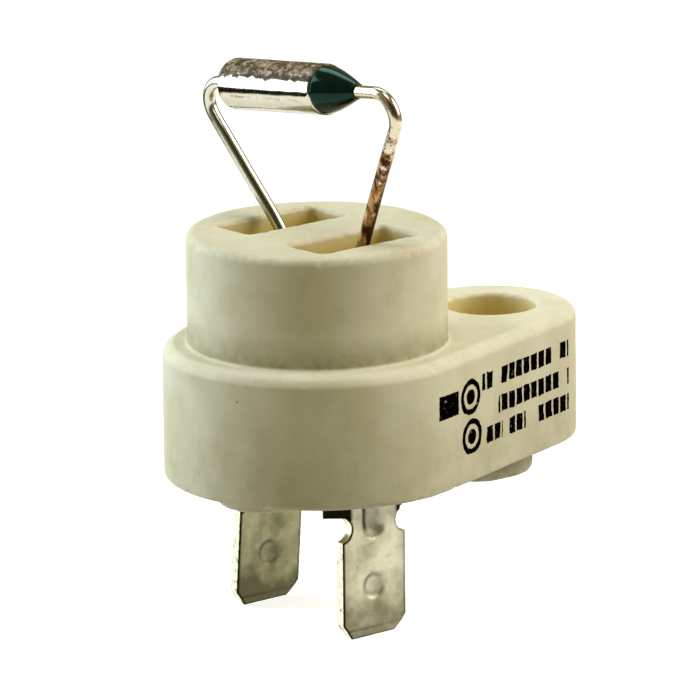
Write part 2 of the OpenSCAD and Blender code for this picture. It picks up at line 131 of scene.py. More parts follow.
# %% [markdown]
# ## Colour and nodes
#
# Colours are picked as sRGB hex values, the way a colour picker shows them. Shaders work in linear light,
# so one function turns the first into the second.
#
# All patterns are built from nodes and none from a picture, so they stay sharp at any distance and need no
# unwrapping. Nodes could be placed by hand in the editor. In a script, one function adds any of them: its
# inputs take plain values or other nodes, and its settings are the node's own properties. Patterns are laid
# out in the object's own coordinates, so a size in millimetres gives their scale.

# %% Helpers for colour and nodes
def linear(hex_colour):
    """Turns an sRGB hex colour into the linear RGBA that a shader socket takes."""
    channels = [int(hex_colour[i : i + 2], 16) / 255 for i in (1, 3, 5)]
    return [c / 12.92 if c <= 0.04045 else ((c + 0.055) / 1.055) ** 2.4 for c in channels] + [1.0]


def add(tree, kind, inputs=None, **settings):
    """Adds a shader node. An input is a plain value, a socket, or a node whose first live output is used."""
    node = tree.nodes.new("ShaderNode" + kind)
    for name, value in settings.items():
        setattr(node, name, value)
    for key, value in (inputs or {}).items():
        if isinstance(key, int):
            socket = node.inputs[key]
        else:
            socket = next(s for s in node.inputs if s.enabled and s.name == key)
        if isinstance(value, bpy.types.Node):
            value = next(s for s in value.outputs if s.enabled)
        if isinstance(value, bpy.types.NodeSocket):
            tree.links.new(value, socket)
        else:
            socket.default_value = value
    return node


def start_material(name, **constants):
    """Makes a material and returns its tree, its shader and its place in object coordinates."""
    material = bpy.data.materials.new(name)
    material.use_nodes = True
    tree = material.node_tree
    shader = tree.nodes["Principled BSDF"]
    for key, value in constants.items():
        shader.inputs[key.replace("_", " ")].default_value = value
    place = add(tree, "TexCoord").outputs["Object"]
    return material, tree, shader, place


def connect(tree, shader, **sources):
    """Links nodes to the shader's sockets, by socket name."""
    for key, node in sources.items():
        output = next(s for s in node.outputs if s.enabled)
        tree.links.new(output, shader.inputs[key.replace("_", " ")])


def per(size_mm):
    """The scale that gives a texture cells of about this size, in object space."""
    return 1 / (size_mm * MM)


print("Mid grey in linear light:", [round(c, 3) for c in linear("#808080")])

# %% [markdown]
# ## Pressed steatite
#
# The holder is steatite, a magnesium silicate ceramic. Its powder is pressed in a steel die and fired
# without a glaze. That leaves a matt cream body with soft clouds of tone from uneven density, greyish
# smudges, and a few dark iron specks and pores. Light enters it a little. Fired steatite has an IOR of
# about 1.58 and a roughness around 0.7.
#
# One layered noise could give all of this at once. Here each layer is a thing of its own on the real part,
# so each has its own texture, colour and size: clouds are 5 mm wide, smudges 1.6 mm, and specks sit about
# 2.2 mm apart. A second noise decides how large each speck is, so that most stay away.

# %% The ceramic's body
steatite, tree, shader, place = start_material(
    "pressed_steatite", IOR=1.58, Specular_IOR_Level=0.35, Subsurface_Weight=0.12, Subsurface_Scale=0.7 * MM
)
clouds = add(tree, "TexNoise", {"Vector": place, "Scale": per(5), "Detail": 3.0, "Roughness": 0.55})
cloud_mask = add(tree, "MapRange", {"Value": clouds, "From Min": 0.38, "From Max": 0.64})
smudges = add(tree, "TexNoise", {"Vector": place, "Scale": per(1.6), "Detail": 5.0, "Roughness": 0.65})
smudge_mask = add(tree, "MapRange", {"Value": smudges, "From Min": 0.56, "From Max": 0.8, "To Max": 0.22})
speck_cells = add(tree, "TexVoronoi", {"Vector": place, "Scale": per(2.2), "Randomness": 1.0})
speck_size = add(tree, "TexNoise", {"Vector": place, "Scale": per(1.1), "Detail": 2.0})
speck_edge = add(tree, "MapRange", {"Value": speck_size, "From Min": 0.5, "From Max": 0.75, "To Max": 0.13})
speck_depth = add(tree, "Math", {0: speck_edge, 1: speck_cells}, operation="SUBTRACT")
speck_mask = add(tree, "MapRange", {"Value": speck_depth, "From Min": 0.0, "From Max": 0.04})

tone = linear("#ded8be")
for mask, colour in ((cloud_mask, "#d4cdb0"), (smudge_mask, "#a9a588"), (speck_mask, "#6f6a50")):
    tone = add(tree, "Mix", {"Factor": mask, "A": tone, "B": linear(colour)}, data_type="RGBA")
print("Nodes in the ceramic's body:", len(tree.nodes))

# %% [markdown]
# ### Painted bounce light, soil and painted shade, rubbed edges and painted highlights
#
# Use and light change a matt ceramic. Its hollows get painted bounce light: a yellow tint, because light
# passes from wall to wall there. Soil lies on the collar's top, painted shade darkens the collar's foot and
# the boss under the ear, and the walls are made darker low down. Edges rub pale, partly as wear and partly as
# a painted highlight, and the flange's bevel gets a painted highlight. These places could be found with a
# pointiness or occlusion node, but the exported model would lose them. So the holder's mesh stores them as
# attributes further below, and the noises here only fray their borders. The foot needs no attribute: it is a
# height above the seat.

# %% Painted bounce light, soil and painted shade, rubbed edges and painted highlights
# Painted bounce light: a yellow tint in the pockets and the recess.
hollow = add(tree, "Attribute", attribute_name="hollow").outputs["Fac"]
painted_bounce_fray = add(tree, "Math", {0: clouds, 1: 0.35, 2: -0.17}, operation="MULTIPLY_ADD")
painted_bounce_mask = add(tree, "Math", {0: hollow, 1: painted_bounce_fray}, operation="ADD", use_clamp=True)

# Painted shade in the corner at the collar's foot starts just above the seat, and fades out up the collar's
# wall.
FOOT_TOP = 2.6
above_seat = add(tree, "SeparateXYZ", {0: place}).outputs["Z"]
foot_fade = add(
    tree, "MapRange", {"Value": above_seat, "From Min": FOOT_TOP * MM, "From Max": 0.2 * MM, "To Max": 0.9}
)
foot_start = add(tree, "MapRange", {"Value": above_seat, "From Min": 0.08 * MM, "From Max": 0.25 * MM})
foot_shade = add(tree, "Math", {0: foot_fade, 1: foot_start}, operation="MULTIPLY")
# From the mesh: soil on the collar's top, painted shade on the boss under the ear, and a darker tone low on
# the walls.
soil_and_shade = add(tree, "Attribute", attribute_name="soil_and_shade").outputs["Fac"]
soil_and_shade = add(tree, "Math", {0: soil_and_shade, 1: foot_shade}, operation="MAXIMUM")
soil_and_shade_patches = add(tree, "MapRange", {"Value": smudges, "From Min": 0.35, "From Max": 0.6, "To Min": 0.6})
soil_and_shade_mask = add(tree, "Math", {0: soil_and_shade, 1: soil_and_shade_patches}, operation="MULTIPLY")

# Scuffs decide how far an edge is rubbed pale. The pale edge is partly wear and partly a painted highlight,
# and on the bevel it is a painted highlight.
scuffs = add(tree, "TexNoise", {"Vector": place, "Scale": per(0.6), "Detail": 4.0, "Roughness": 0.7})
edge = add(tree, "Attribute", attribute_name="edge").outputs["Fac"]
rub_and_highlight_start = add(
    tree, "MapRange", {"Value": scuffs, "From Min": 0.3, "From Max": 0.7, "To Min": 0.45, "To Max": 0.0}
)
rub_and_highlight_mask = add(tree, "MapRange", {"Value": edge, "From Min": rub_and_highlight_start, "From Max": 0.9, "To Max": 0.75})
bevel = add(tree, "Attribute", attribute_name="bevel").outputs["Fac"]
bevel_highlight_fray = add(
    tree, "MapRange", {"Value": scuffs, "From Min": 0.35, "From Max": 0.65, "To Min": -0.25, "To Max": 0.2}
)
frayed_bevel_highlight = add(tree, "Math", {0: bevel, 1: bevel_highlight_fray}, operation="ADD")
bevel_highlight_mask = add(tree, "MapRange", {"Value": frayed_bevel_highlight, "From Min": 0.3, "From Max": 0.8, "To Max": 0.12})
pale_edge_and_highlight_mask = add(tree, "Math", {0: rub_and_highlight_mask, 1: bevel_highlight_mask}, operation="MAXIMUM")

# Painted bounce light in the hollows, soil and painted shade, and pale edges that are partly rubbed and
# partly a painted highlight.
for mask, colour in ((painted_bounce_mask, "#cfb436"), (soil_and_shade_mask, "#8f875f"), (pale_edge_and_highlight_mask, "#f4f0e0")):
    tone = add(tree, "Mix", {"Factor": mask, "A": tone, "B": linear(colour)}, data_type="RGBA")
print("Attributes the ceramic reads:", sum(node.type == "ATTRIBUTE" for node in tree.nodes))

# %% [markdown]
# ### Grit
#
# Real grit is near 0.05 mm, which the picture can't show, so it is drawn at 0.22 mm. It could be real
# geometry, but it is finer than any mesh here can hold, so it is bump. The specks are pores, so they are
# taken out of the same height.

# %% Grit
GRIT_SIZE = 0.22
GRIT_DEPTH = 0.02

grit = add(tree, "TexNoise", {"Vector": place, "Scale": per(GRIT_SIZE), "Detail": 3.0, "Roughness": 0.6})
pits = add(tree, "Math", {0: grit, 1: speck_mask}, operation="SUBTRACT")
relief = add(tree, "Bump", {"Height": pits, "Distance": GRIT_DEPTH * MM, "Strength": 0.6})
dryness = add(
    tree, "MapRange", {"Value": smudges, "From Min": 0.3, "From Max": 0.7, "To Min": 0.62, "To Max": 0.8}
)
connect(tree, shader, Roughness=dryness, Normal=relief)
print("Grit is drawn", GRIT_SIZE, "mm wide and", GRIT_DEPTH, "mm deep")

# %% [markdown]
# ## Ink on the ear
#
# A stamp has left black ink on the side of the ear: three rows of plain blocks, one solid bar, and two
# rings with a dot. Every point of the surface knows its place on an unrolled label, in millimetres, through
# an attribute that the holder's mesh gets further below. Blocks and rings come from simple comparisons on
# that place. They could be an image instead, but comparisons stay sharp at any distance. A fine noise
# shakes the place first, so the ink's edge is as ragged as a stamp on a gritty surface leaves it, and a
# second one leaves small gaps where the ink wore.

# %% The ink
# Each bar: its height, its start and end along the label, its half height, and if it is cut in blocks.
LABEL_BARS = (
    (-2.85, 4.8, 17.9, 0.66, True),
    (-5.1, 7.2, 17.9, 0.66, True),
    (-7.2, 5.3, 17.9, 0.66, True),
    (-3.65, -1.35, 1.35, 0.95, False),
)
LABEL_RINGS = ((-3.6, 3.1), (-6.8, 3.3))
RING_RADIUS = 1.2
RING_STROKE = 0.46
RING_DOT = 0.6
BLOCK_PITCH = 1.1
BLOCK_FILL = 0.8
SHAKE = 0.16

# The shaken place on the label, and the number of the block that it lies in.
label = add(tree, "Attribute", attribute_name="label_place").outputs["Vector"]
shake = add(tree, "TexNoise", {"Vector": place, "Scale": per(0.25), "Detail": 2.0}).outputs["Color"]
shaken = add(tree, "VectorMath", {0: shake, 1: (SHAKE, SHAKE, 0.0), 2: label}, operation="MULTIPLY_ADD")
along, height, on_label = add(tree, "SeparateXYZ", {0: shaken}).outputs
cell = add(tree, "Math", {0: along, 1: BLOCK_PITCH}, operation="DIVIDE")
in_cell = add(tree, "Math", {0: cell}, operation="FRACT")
cell_number = add(tree, "Math", {0: cell}, operation="FLOOR")
print("Places on the label are shaken by up to", SHAKE, "mm")

# %% Bars and rings
ink = 0.0
for row, first, last, half_height, in_blocks in LABEL_BARS:
    in_row = add(tree, "Math", {0: height, 1: row, 2: half_height}, operation="COMPARE")
    middle, half_width = (first + last) / 2, (last - first) / 2
    in_span = add(tree, "Math", {0: along, 1: middle, 2: half_width}, operation="COMPARE")
    bar = add(tree, "Math", {0: in_row, 1: in_span}, operation="MULTIPLY")
    if in_blocks:
        draw = add(tree, "TexWhiteNoise", {"Vector": add(tree, "CombineXYZ", {0: cell_number, 1: row})})
        ends = {"Value": draw, "From Min": 0.08, "From Max": 0.2, "To Max": BLOCK_FILL}
        filled = add(tree, "MapRange", ends)
        block = add(tree, "Math", {0: in_cell, 1: filled}, operation="LESS_THAN")
        bar = add(tree, "Math", {0: bar, 1: block}, operation="MULTIPLY")
    ink = add(tree, "Math", {0: ink, 1: bar}, operation="MAXIMUM")
for row, middle in LABEL_RINGS:
    centre = (middle, row, 1.0)
    reach = add(tree, "VectorMath", {0: shaken, 1: centre}, operation="DISTANCE").outputs["Value"]
    ring = add(tree, "Math", {0: reach, 1: RING_RADIUS, 2: RING_STROKE / 2}, operation="COMPARE")
    dot = add(tree, "Math", {0: reach, 1: RING_DOT}, operation="LESS_THAN")
    for mark in (ring, dot):
        ink = add(tree, "Math", {0: ink, 1: mark}, operation="MAXIMUM")
wear = add(tree, "TexNoise", {"Vector": place, "Scale": per(0.35), "Detail": 4.0, "Roughness": 0.7})
kept_ink = add(tree, "MapRange", {"Value": wear, "From Min": 0.26, "From Max": 0.36})
for mask in (kept_ink, on_label):
    ink = add(tree, "Math", {0: ink, 1: mask}, operation="MULTIPLY")
printed = add(tree, "Mix", {"Factor": ink, "A": tone, "B": linear("#050403")}, data_type="RGBA")
shine = add(tree, "MapRange", {"Value": ink, "To Min": 0.35, "To Max": 0.0})
glow = add(tree, "MapRange", {"Value": ink, "To Min": 0.12, "To Max": 0.0})
connect(tree, shader, Base_Color=printed, Specular_IOR_Level=shine, Subsurface_Weight=glow)

print("Label:", len(LABEL_BARS), "bars, in blocks every", BLOCK_PITCH, "mm, and", len(LABEL_RINGS), "rings")

# %% [markdown]
# ## Tinned brass
#
# The terminals are punched from brass strip that was plated with tin first. Tin is a soft grey-white metal
# that oxidises to a dull olive bloom, and the finish is made darker towards the tip. Rolling leaves fine
# lines along the strip. The punch shears the strip, so bare brass shows on the cut edges. Beside them runs a
# painted dark line of shade, and painted shade lies in the rib, in the ring round the dimple and on the
# turned back head. Metals keep the default IOR, and their colour is the base colour itself. The roughness of
# 0.38 to 0.55 comes from the oxide.
#
# Cut edges, the painted dark line and the painted shade are attributes of the mesh, as on the ceramic.
# Rolling lines are really about 0.02 mm apart. They are drawn 0.12 mm apart, so that they show at all. The
# rear terminal's copy of the finish is painted darker, as painted shade, so one function makes both finishes
# from three colours each.

# %% The terminals' material
TIP_DARKENING_FROM = -17
TAB_TIP = -22


def tinned_brass(name, bright_colour, dull_colour, stain_colour):
    """Tin plate that is dull in clouds and darker towards its tip, with painted shade in its hollows and
    along its edges, and bare brass along the sheared edges.
    """
    material, tree, shader, place = start_material(name, Metallic=1.0)
    # Oxide blooms in clouds, with stains in it, and the finish is made darker towards the tip.
    bloom = add(tree, "TexNoise", {"Vector": place, "Scale": per(2.4), "Detail": 5.0, "Roughness": 0.6})
    depth = add(tree, "SeparateXYZ", {0: place}).outputs["Z"]
    darker_to_tip = add(
        tree, "MapRange",
        {"Value": depth, "From Min": TIP_DARKENING_FROM * MM, "From Max": TAB_TIP * MM, "To Max": 0.38},
    )
    dulled_and_darkened = add(tree, "Math", {0: bloom, 1: darker_to_tip}, operation="ADD")
    bloom_mask = add(tree, "MapRange", {"Value": dulled_and_darkened, "From Min": 0.36, "From Max": 0.86})
    stains = add(tree, "TexNoise", {"Vector": place, "Scale": per(0.5), "Detail": 6.0, "Roughness": 0.7})
    stain_mask = add(tree, "MapRange", {"Value": stains, "From Min": 0.58, "From Max": 0.75, "To Max": 0.5})

    # Painted shade has a frayed border, and a sheared edge is brass except where tin was dragged over it.
    grain = add(tree, "TexNoise", {"Vector": place, "Scale": per(0.3), "Detail": 3.0, "Roughness": 0.6})
    painted_shade = add(tree, "Attribute", attribute_name="painted_shade").outputs["Fac"]
    painted_shade_fray = add(tree, "Math", {0: grain, 1: 0.5, 2: painted_shade}, operation="MULTIPLY_ADD")
    painted_shade_mask = add(tree, "Math", {0: painted_shade_fray, 1: painted_shade}, operation="MULTIPLY", use_clamp=True)
    outline = add(tree, "Attribute", attribute_name="outline").outputs["Fac"]
    tear = add(tree, "TexNoise", {"Vector": place, "Scale": per(0.3), "Detail": 3.0})
    torn = add(tree, "MapRange", {"Value": tear, "From Min": 0.3, "From Max": 0.5})
    sheared = add(tree, "Attribute", attribute_name="sheared").outputs["Fac"]
    brass_mask = add(tree, "Math", {0: torn, 1: sheared}, operation="MULTIPLY")

    tone = linear(bright_colour)
    # Painted shade in the hollows, and a painted dark line of shade along the edges, go over the tin.
    layers = (
        (bloom_mask, dull_colour), (stain_mask, stain_colour), (painted_shade_mask, "#14110b"),
        (outline, "#120f08"), (brass_mask, "#f6f0cf"),
    )
    for mask, colour in layers:
        tone = add(tree, "Mix", {"Factor": mask, "A": tone, "B": linear(colour)}, data_type="RGBA")

    # Rolling lines run along the strip, so their pattern is stretched that way.
    stretch = add(tree, "Mapping", {"Vector": place, "Scale": (per(0.12), per(0.12), per(3))})
    lines = add(tree, "TexNoise", {"Vector": stretch, "Scale": 1.0, "Detail": 2.0})
    texture = add(tree, "Math", {0: lines, 1: 0.5, 2: grain}, operation="MULTIPLY_ADD")
    relief = add(tree, "Bump", {"Height": texture, "Distance": 0.012 * MM, "Strength": 0.5})
    dullness = add(
        tree, "MapRange", {"Value": bloom, "From Min": 0.35, "From Max": 0.7, "To Min": 0.38, "To Max": 0.55}
    )
    connect(tree, shader, Base_Color=tone, Roughness=dullness, Normal=relief)
    return material


front_tin = tinned_brass("tinned_brass", "#c9c4ab", "#817c62", "#5b5840")
# The rear copy is painted darker: painted shade on the rear terminal.
shaded_rear_tin = tinned_brass("tinned_brass_painted_shade", "#a9a581", "#636044", "#44412c")
print("Tin finishes:", front_tin.name, "and", shaded_rear_tin.name)

# %% [markdown]
# ## Silver plate
#
# The fuse's case and its leads are copper alloy plated with silver. Fresh silver is almost white and as
# smooth as the drawn metal below it. Air with sulphur turns it yellow, then brown, in mottles about 0.8 mm
# wide. On the case's upper side the tarnish has grown to a crust. That is silver sulphide and no metal, so it
# is rough, hardly shines, and lets the shader's metallic value fall. It is darkest along its lower border.
# The case's underside is painted darker, as painted shade, and worn streaks run along its side. The lead on
# the sealed side is worn down to the copper, more and more towards the holder, because that end was gripped
# and bent.
#
# The finishes differ only in where the tarnish sits and in how far it goes, so one function makes all
# four. All heights are measured from the fuse's axis, which slopes a little, and all grains are given in
# millimetres along the three axes: wire is drawn, so its grain is long.

# %% Where the fuse lies
FUSE_SLOPE = math.radians(6.6)
FUSE_START = (-1.7, 7.7, 19.45)
FUSE_UP = (0.0, math.sin(FUSE_SLOPE), math.cos(FUSE_SLOPE))
FUSE_ALONG = (0.0, -math.cos(FUSE_SLOPE), math.sin(FUSE_SLOPE))
print("The fuse rises by", round(FUSE_ALONG[2], 3), "mm in each mm")

# %% Silver plate
# Heights over the axis between which the crust's dark border and the painted shade of the underside fade in.
BORDER_HEIGHTS = (1.3, 0.75)
UNDERSIDE_HEIGHTS = (-0.7, -2)


def silver_plate(
    name, colours, roughness, tarnish, grain, crust_metal=1.0, dark_border=0.0, underside=0.0, streaks=()
):
    """Silver plate. Its tarnish grows between two heights over the fuse's axis, up to a most."""
    bright_colour, dull_colour, tarnish_colour, burnt_colour = colours
    material, tree, shader, place = start_material(name)
    start = tuple(value * MM for value in FUSE_START)
    from_start = add(tree, "VectorMath", {0: place, 1: start}, operation="SUBTRACT")
    height = add(tree, "VectorMath", {0: from_start, 1: FUSE_UP}, operation="DOT_PRODUCT").outputs["Value"]
    fades = []
    for low, high, most in (tarnish, (*UNDERSIDE_HEIGHTS, underside), (*BORDER_HEIGHTS, dark_border)):
        ends = {"Value": height, "From Min": low * MM, "From Max": high * MM, "To Max": most}
        fades.append(add(tree, "MapRange", ends))
    grown, shade, border = fades
    # Tarnish covers whole mottles where its height lets it grow, and flakes along the grain break it up.
    mottles = add(tree, "TexNoise", {"Vector": place, "Scale": per(0.8), "Detail": 6.0, "Roughness": 0.7})
    spread = add(tree, "Math", {0: mottles, 1: grown}, operation="ADD")
    whole = add(tree, "MapRange", {"Value": spread, "From Min": 0.78, "From Max": 0.9})
    along_grain = add(tree, "Mapping", {"Vector": place, "Scale": tuple(per(size) for size in grain)})
    flakes = add(tree, "TexNoise", {"Vector": along_grain, "Scale": 1.0, "Detail": 5.0, "Roughness": 0.75})
    kept = add(tree, "MapRange", {"Value": flakes, "From Min": 0.3, "From Max": 0.42, "To Min": 0.6})
    tarnished = add(tree, "Math", {0: whole, 1: kept}, operation="MULTIPLY")

    # The plate is duller in its mottles, its underside gets painted shade, and streaks are worn into it.
    dulled_and_darkened = add(tree, "Math", {0: mottles, 1: 0.5, 2: shade}, operation="MULTIPLY_ADD", use_clamp=True)
    tones = {"Factor": dulled_and_darkened, "A": linear(bright_colour), "B": linear(dull_colour)}
    tone = add(tree, "Mix", tones, data_type="RGBA")
    for row, half_height, first, last in streaks:
        run = add(tree, "VectorMath", {0: from_start, 1: FUSE_ALONG}, operation="DOT_PRODUCT")
        middle, half = (first + last) / 2 * MM, (last - first) / 2 * MM
        in_row = add(tree, "Math", {0: height, 1: row * MM, 2: half_height * MM}, operation="COMPARE")
        in_span = add(tree, "Math", {0: run.outputs["Value"], 1: middle, 2: half}, operation="COMPARE")
        worn = add(tree, "MapRange", {"Value": flakes, "From Min": 0.5, "From Max": 0.56, "To Max": 0.6})
        streak = add(tree, "Math", {0: in_row, 1: in_span}, operation="MULTIPLY")
        streak = add(tree, "Math", {0: streak, 1: worn}, operation="MULTIPLY")
        tone = add(tree, "Mix", {"Factor": streak, "A": tone, "B": linear("#3b3728")}, data_type="RGBA")

    # The crust is burnt dark in flakes and along its lower border.
    burnt = add(tree, "MapRange", {"Value": flakes, "From Min": 0.38, "From Max": 0.54})
    crust = linear(tarnish_colour)
    for mask, colour in ((burnt, burnt_colour), (border, "#1a120a")):
        crust = add(tree, "Mix", {"Factor": mask, "A": crust, "B": linear(colour)}, data_type="RGBA")
    tone = add(tree, "Mix", {"Factor": tarnished, "A": tone, "B": crust}, data_type="RGBA")

    # It stands proud of the plate, and it is rougher and shines less.
    drawn = add(tree, "TexNoise", {"Vector": place, "Scale": per(0.35), "Detail": 4.0, "Roughness": 0.65})
    raised = add(tree, "Math", {0: tarnished, 1: 0.8, 2: drawn}, operation="MULTIPLY_ADD")
    relief = add(tree, "Bump", {"Height": raised, "Distance": 0.015 * MM, "Strength": 0.5})
    dullness = add(tree, "MapRange", {"Value": tarnished, "To Min": roughness, "To Max": 0.5})
    metal = add(tree, "MapRange", {"Value": tarnished, "To Min": 1.0, "To Max": crust_metal})
    gloss = add(tree, "MapRange", {"Value": tarnished, "To Min": 0.5, "To Max": 0.1})
    connect(tree, shader, Base_Color=tone, Roughness=dullness, Metallic=metal)
    connect(tree, shader, Specular_IOR_Level=gloss, Normal=relief)
    return material


print("The dark border fades in from", BORDER_HEIGHTS[0], "mm down to", BORDER_HEIGHTS[1], "mm over the axis")

# %% Four silver finishes
CASE_GRAIN = (0.4, 0.7, 0.4)
WIRE_GRAIN = (0.8, 0.8, 2.6)
# Each streak: its height over the axis, its half height, and where it starts and ends along the fuse.
CASE_STREAKS = ((-0.67, 0.09, 1.6, 10.6), (-1.45, 0.09, 6.6, 11.2))
case_silver = silver_plate(
    "tarnished_silver_case", ("#cfcab8", "#857f63", "#b09a7c", "#443223"), roughness=0.1,
    tarnish=(0.5, 1.2, 0.75), grain=CASE_GRAIN,
    crust_metal=0.08, dark_border=0.75, underside=0.7, streaks=CASE_STREAKS,
)
clean_wire = silver_plate(
    "silver_plated_wire", ("#d3d0bf", "#928f73", "#56522f", "#3a371f"), roughness=0.2,
    tarnish=(20, 30, 0.1), grain=WIRE_GRAIN,
)
worn_wire = silver_plate(
    "worn_silver_on_copper", ("#d6c8b0", "#a1886c", "#c4955f", "#3a1e0b"), roughness=0.18,
    tarnish=(2.5, -10, 0.6), grain=WIRE_GRAIN,
)
contact_silver = silver_plate(
    "contact_silver", ("#e9e7df", "#c8c3ae", "#8f8a70", "#6b674f"), roughness=0.25,
    tarnish=(-20, 20, 0.1), grain=CASE_GRAIN,
)
print("Silver finishes:", [finish.name for finish in (case_silver, clean_wire, worn_wire, contact_silver)])

# %% [markdown]
# ## Epoxy, and what is inside the fuse
#
# The seal is a drop of dark green epoxy that ran down the lead and set with a wet gloss. Epoxy has an IOR
# of about 1.55 and sets almost mirror smooth. Its colour sits in the resin, and even what it mirrors looks
# green in the photograph, so the specular tint is green too.
#
# The pieces inside the case are never seen, but they exist, so they get honest finishes as well: a pressed
# organic pellet, fired alumina, and drawn steel wire. Pellet and alumina are both fine powders that were
# pressed, so one loop makes both.

# %% The other materials
epoxy, tree, shader, place = start_material(
    "green_epoxy", IOR=1.55, Roughness=0.12, Specular_IOR_Level=0.26, Specular_Tint=linear("#86e6c6")
)
resin = add(tree, "TexNoise", {"Vector": place, "Scale": per(1.5), "Detail": 3.0})
tone = add(tree, "Mix", {"Factor": resin, "A": linear("#020b07"), "B": linear("#061c14")}, data_type="RGBA")
ripple = add(tree, "TexNoise", {"Vector": place, "Scale": per(1.2), "Detail": 1.0})
relief = add(tree, "Bump", {"Height": ripple, "Distance": 0.04 * MM, "Strength": 0.4})
connect(tree, shader, Base_Color=tone, Normal=relief)

pressed = []
for name, roughness, grain_size, light_colour, dark_colour, grain_depth in (
    ("pressed_pellet", 0.8, 0.2, "#e8dcae", "#cdbd86", 0.03),
    ("fired_alumina", 0.45, 0.25, "#f4f1e8", "#e2ddcf", 0.01),
):
    material, tree, shader, place = start_material(name, Roughness=roughness)
    grains = add(tree, "TexNoise", {"Vector": place, "Scale": per(grain_size), "Detail": 4.0})
    tones = {"Factor": grains, "A": linear(light_colour), "B": linear(dark_colour)}
    tone = add(tree, "Mix", tones, data_type="RGBA")
    relief = add(tree, "Bump", {"Height": grains, "Distance": grain_depth * MM})
    connect(tree, shader, Base_Color=tone, Normal=relief)
    pressed.append(material)
powder, alumina = pressed

steel, tree, shader, place = start_material("drawn_spring_steel", Metallic=1.0)
drawn = add(tree, "TexNoise", {"Vector": place, "Scale": per(0.15), "Detail": 4.0})
tone = add(tree, "Mix", {"Factor": drawn, "A": linear("#9a9a98"), "B": linear("#77776f")}, data_type="RGBA")
sheen = add(tree, "MapRange", {"Value": drawn, "To Min": 0.25, "To Max": 0.45})
connect(tree, shader, Base_Color=tone, Roughness=sheen)

print("Materials:", len(bpy.data.materials))

# %% [markdown]
# ## Meshes from rings
#
# Two ways of making a mesh cover every visible piece, and this is the first. Round pieces, such as wire,
# case and seal, are rings of points joined by quads. A curve object with a bevel could make the wires as
# well, but rings also allow a radius that changes, and they keep bends smooth where the CAD solid has flat
# facets.

# %% Helpers for meshes from rings
def make_piece(name, points, faces, material, slot):
    """Makes a smooth shaded piece on the root body from points in millimetres."""
    mesh = bpy.data.meshes.new(name)
    mesh.from_pydata([tuple(p) for p in np.asarray(points) * MM], [], faces)
    mesh.validate()
    mesh.shade_smooth()
    mesh.materials.append(material)
    piece = bpy.data.objects.new(name, mesh)
    bpy.context.collection.objects.link(piece)
    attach(piece, "root")
    return piece


def skin(rings, closed=False):
    """Joins rings of points into quads. An open tube is capped, a closed one runs back into its start."""
    rings = np.asarray(rings)
    count, sides = rings.shape[:2]
    steps = count if closed else count - 1
    faces = []
    for i in range(steps):
        here, there = i * sides, (i + 1) % count * sides
        for j in range(sides):
            k = (j + 1) % sides
            faces.append((here + j, here + k, there + k, there + j))
    if not closed:
        faces.append(tuple(range(sides - 1, -1, -1)))
        faces.append(tuple((count - 1) * sides + j for j in range(sides)))
    return rings.reshape(-1, 3), faces


def rings_along(places, directions, radii, sides):
    """Rings round a line of places that never runs along X."""
    turn = np.linspace(0, 2 * math.pi, sides, endpoint=False)
    rings = []
    for place, direction, radius in zip(places, directions, radii):
        side = np.cross(direction, (1.0, 0.0, 0.0))
        side /= np.linalg.norm(side)
        across = np.cross(side, direction)
        rings.append(place + radius * (np.outer(np.cos(turn), across) + np.outer(np.sin(turn), side)))
    return np.array(rings)


prism = skin([[(0, 0, z), (1, 0, z), (1, 1, z)] for z in (0, 1)])
print("A prism from two rings:", len(prism[0]), "points and", len(prism[1]), "faces")

# %% [markdown]
# ## All points at once
#
# A mesh of many thousand points is slow to change point by point. So its points, its normals and any
# values on them are taken out as arrays, changed all at once, and put back. One measure does most of the
# work: the step from each point's value to the mean of its neighbours. Half of that step smooths a shape,
# or the border of a mask.

# %% Helpers for points
HALF_STEP = 0.5


def get_points(piece):
    """All points of a piece, in millimetres."""
    points = np.empty(len(piece.data.vertices) * 3)
    piece.data.vertices.foreach_get("co", points)
    return points.reshape(-1, 3) / MM


def set_points(piece, points):
    """Moves all points of a piece, given in millimetres."""
    piece.data.vertices.foreach_set("co", (points * MM).ravel())
    piece.data.update()


def get_normals(piece):
    """The normal at each point of a piece."""
    normals = np.empty(len(piece.data.vertices) * 3)
    piece.data.vertex_normals.foreach_get("vector", normals)
    return normals.reshape(-1, 3)


def towards_neighbours(piece, values):
    """For each point, the step from its value to the mean of its neighbours' values."""
    ends = np.empty(len(piece.data.edges) * 2, dtype=np.int64)
    piece.data.edges.foreach_get("vertices", ends)
    a, b = ends.reshape(-1, 2).T
    count = np.bincount(ends, minlength=len(values)).reshape((-1,) + (1,) * (values.ndim - 1))
    total = np.zeros_like(values)
    np.add.at(total, a, values[b])
    np.add.at(total, b, values[a])
    return total / np.maximum(count, 1) - values


def smoothed(piece, values, rounds):
    """Values of each point, moved half a step towards their neighbours in each round."""
    for _ in range(rounds):
        values = values + HALF_STEP * towards_neighbours(piece, values)
    return values


def noise_at(points, size, seed):
    """Smooth noise between -1 and 1, with features of a size in millimetres. A seed shifts it elsewhere."""
    shift = Vector((seed * 13.7, seed * 7.1, seed * 3.3))
    return np.array([noise.noise(Vector(p) / size + shift) for p in points])


print("Points of the CAD holder:", len(get_points(frame["nodes"]["holder_body"])))

# %% [markdown]
# ## Worn copies
#
# Pressed and punched pieces start as a copy of their CAD node. A bevel modifier could round their edges,
# but it folds over on the long, thin faces of a CAD mesh. A voxel remesh turns the copy into an even skin
# of small quads instead, and two rounds of smoothing round every sharp edge, as firing, tumbling and
# punching do. The same even skin can then be moved point by point, for waviness and chips.
#
# The copy is welded first, because the CAD mesh comes with split points. Its modifiers are baked in at once,
# so that the rest of the script works on the mesh that is rendered.

# %% Worn copies of CAD nodes
WELD = 0.0005
ROUNDING = 2


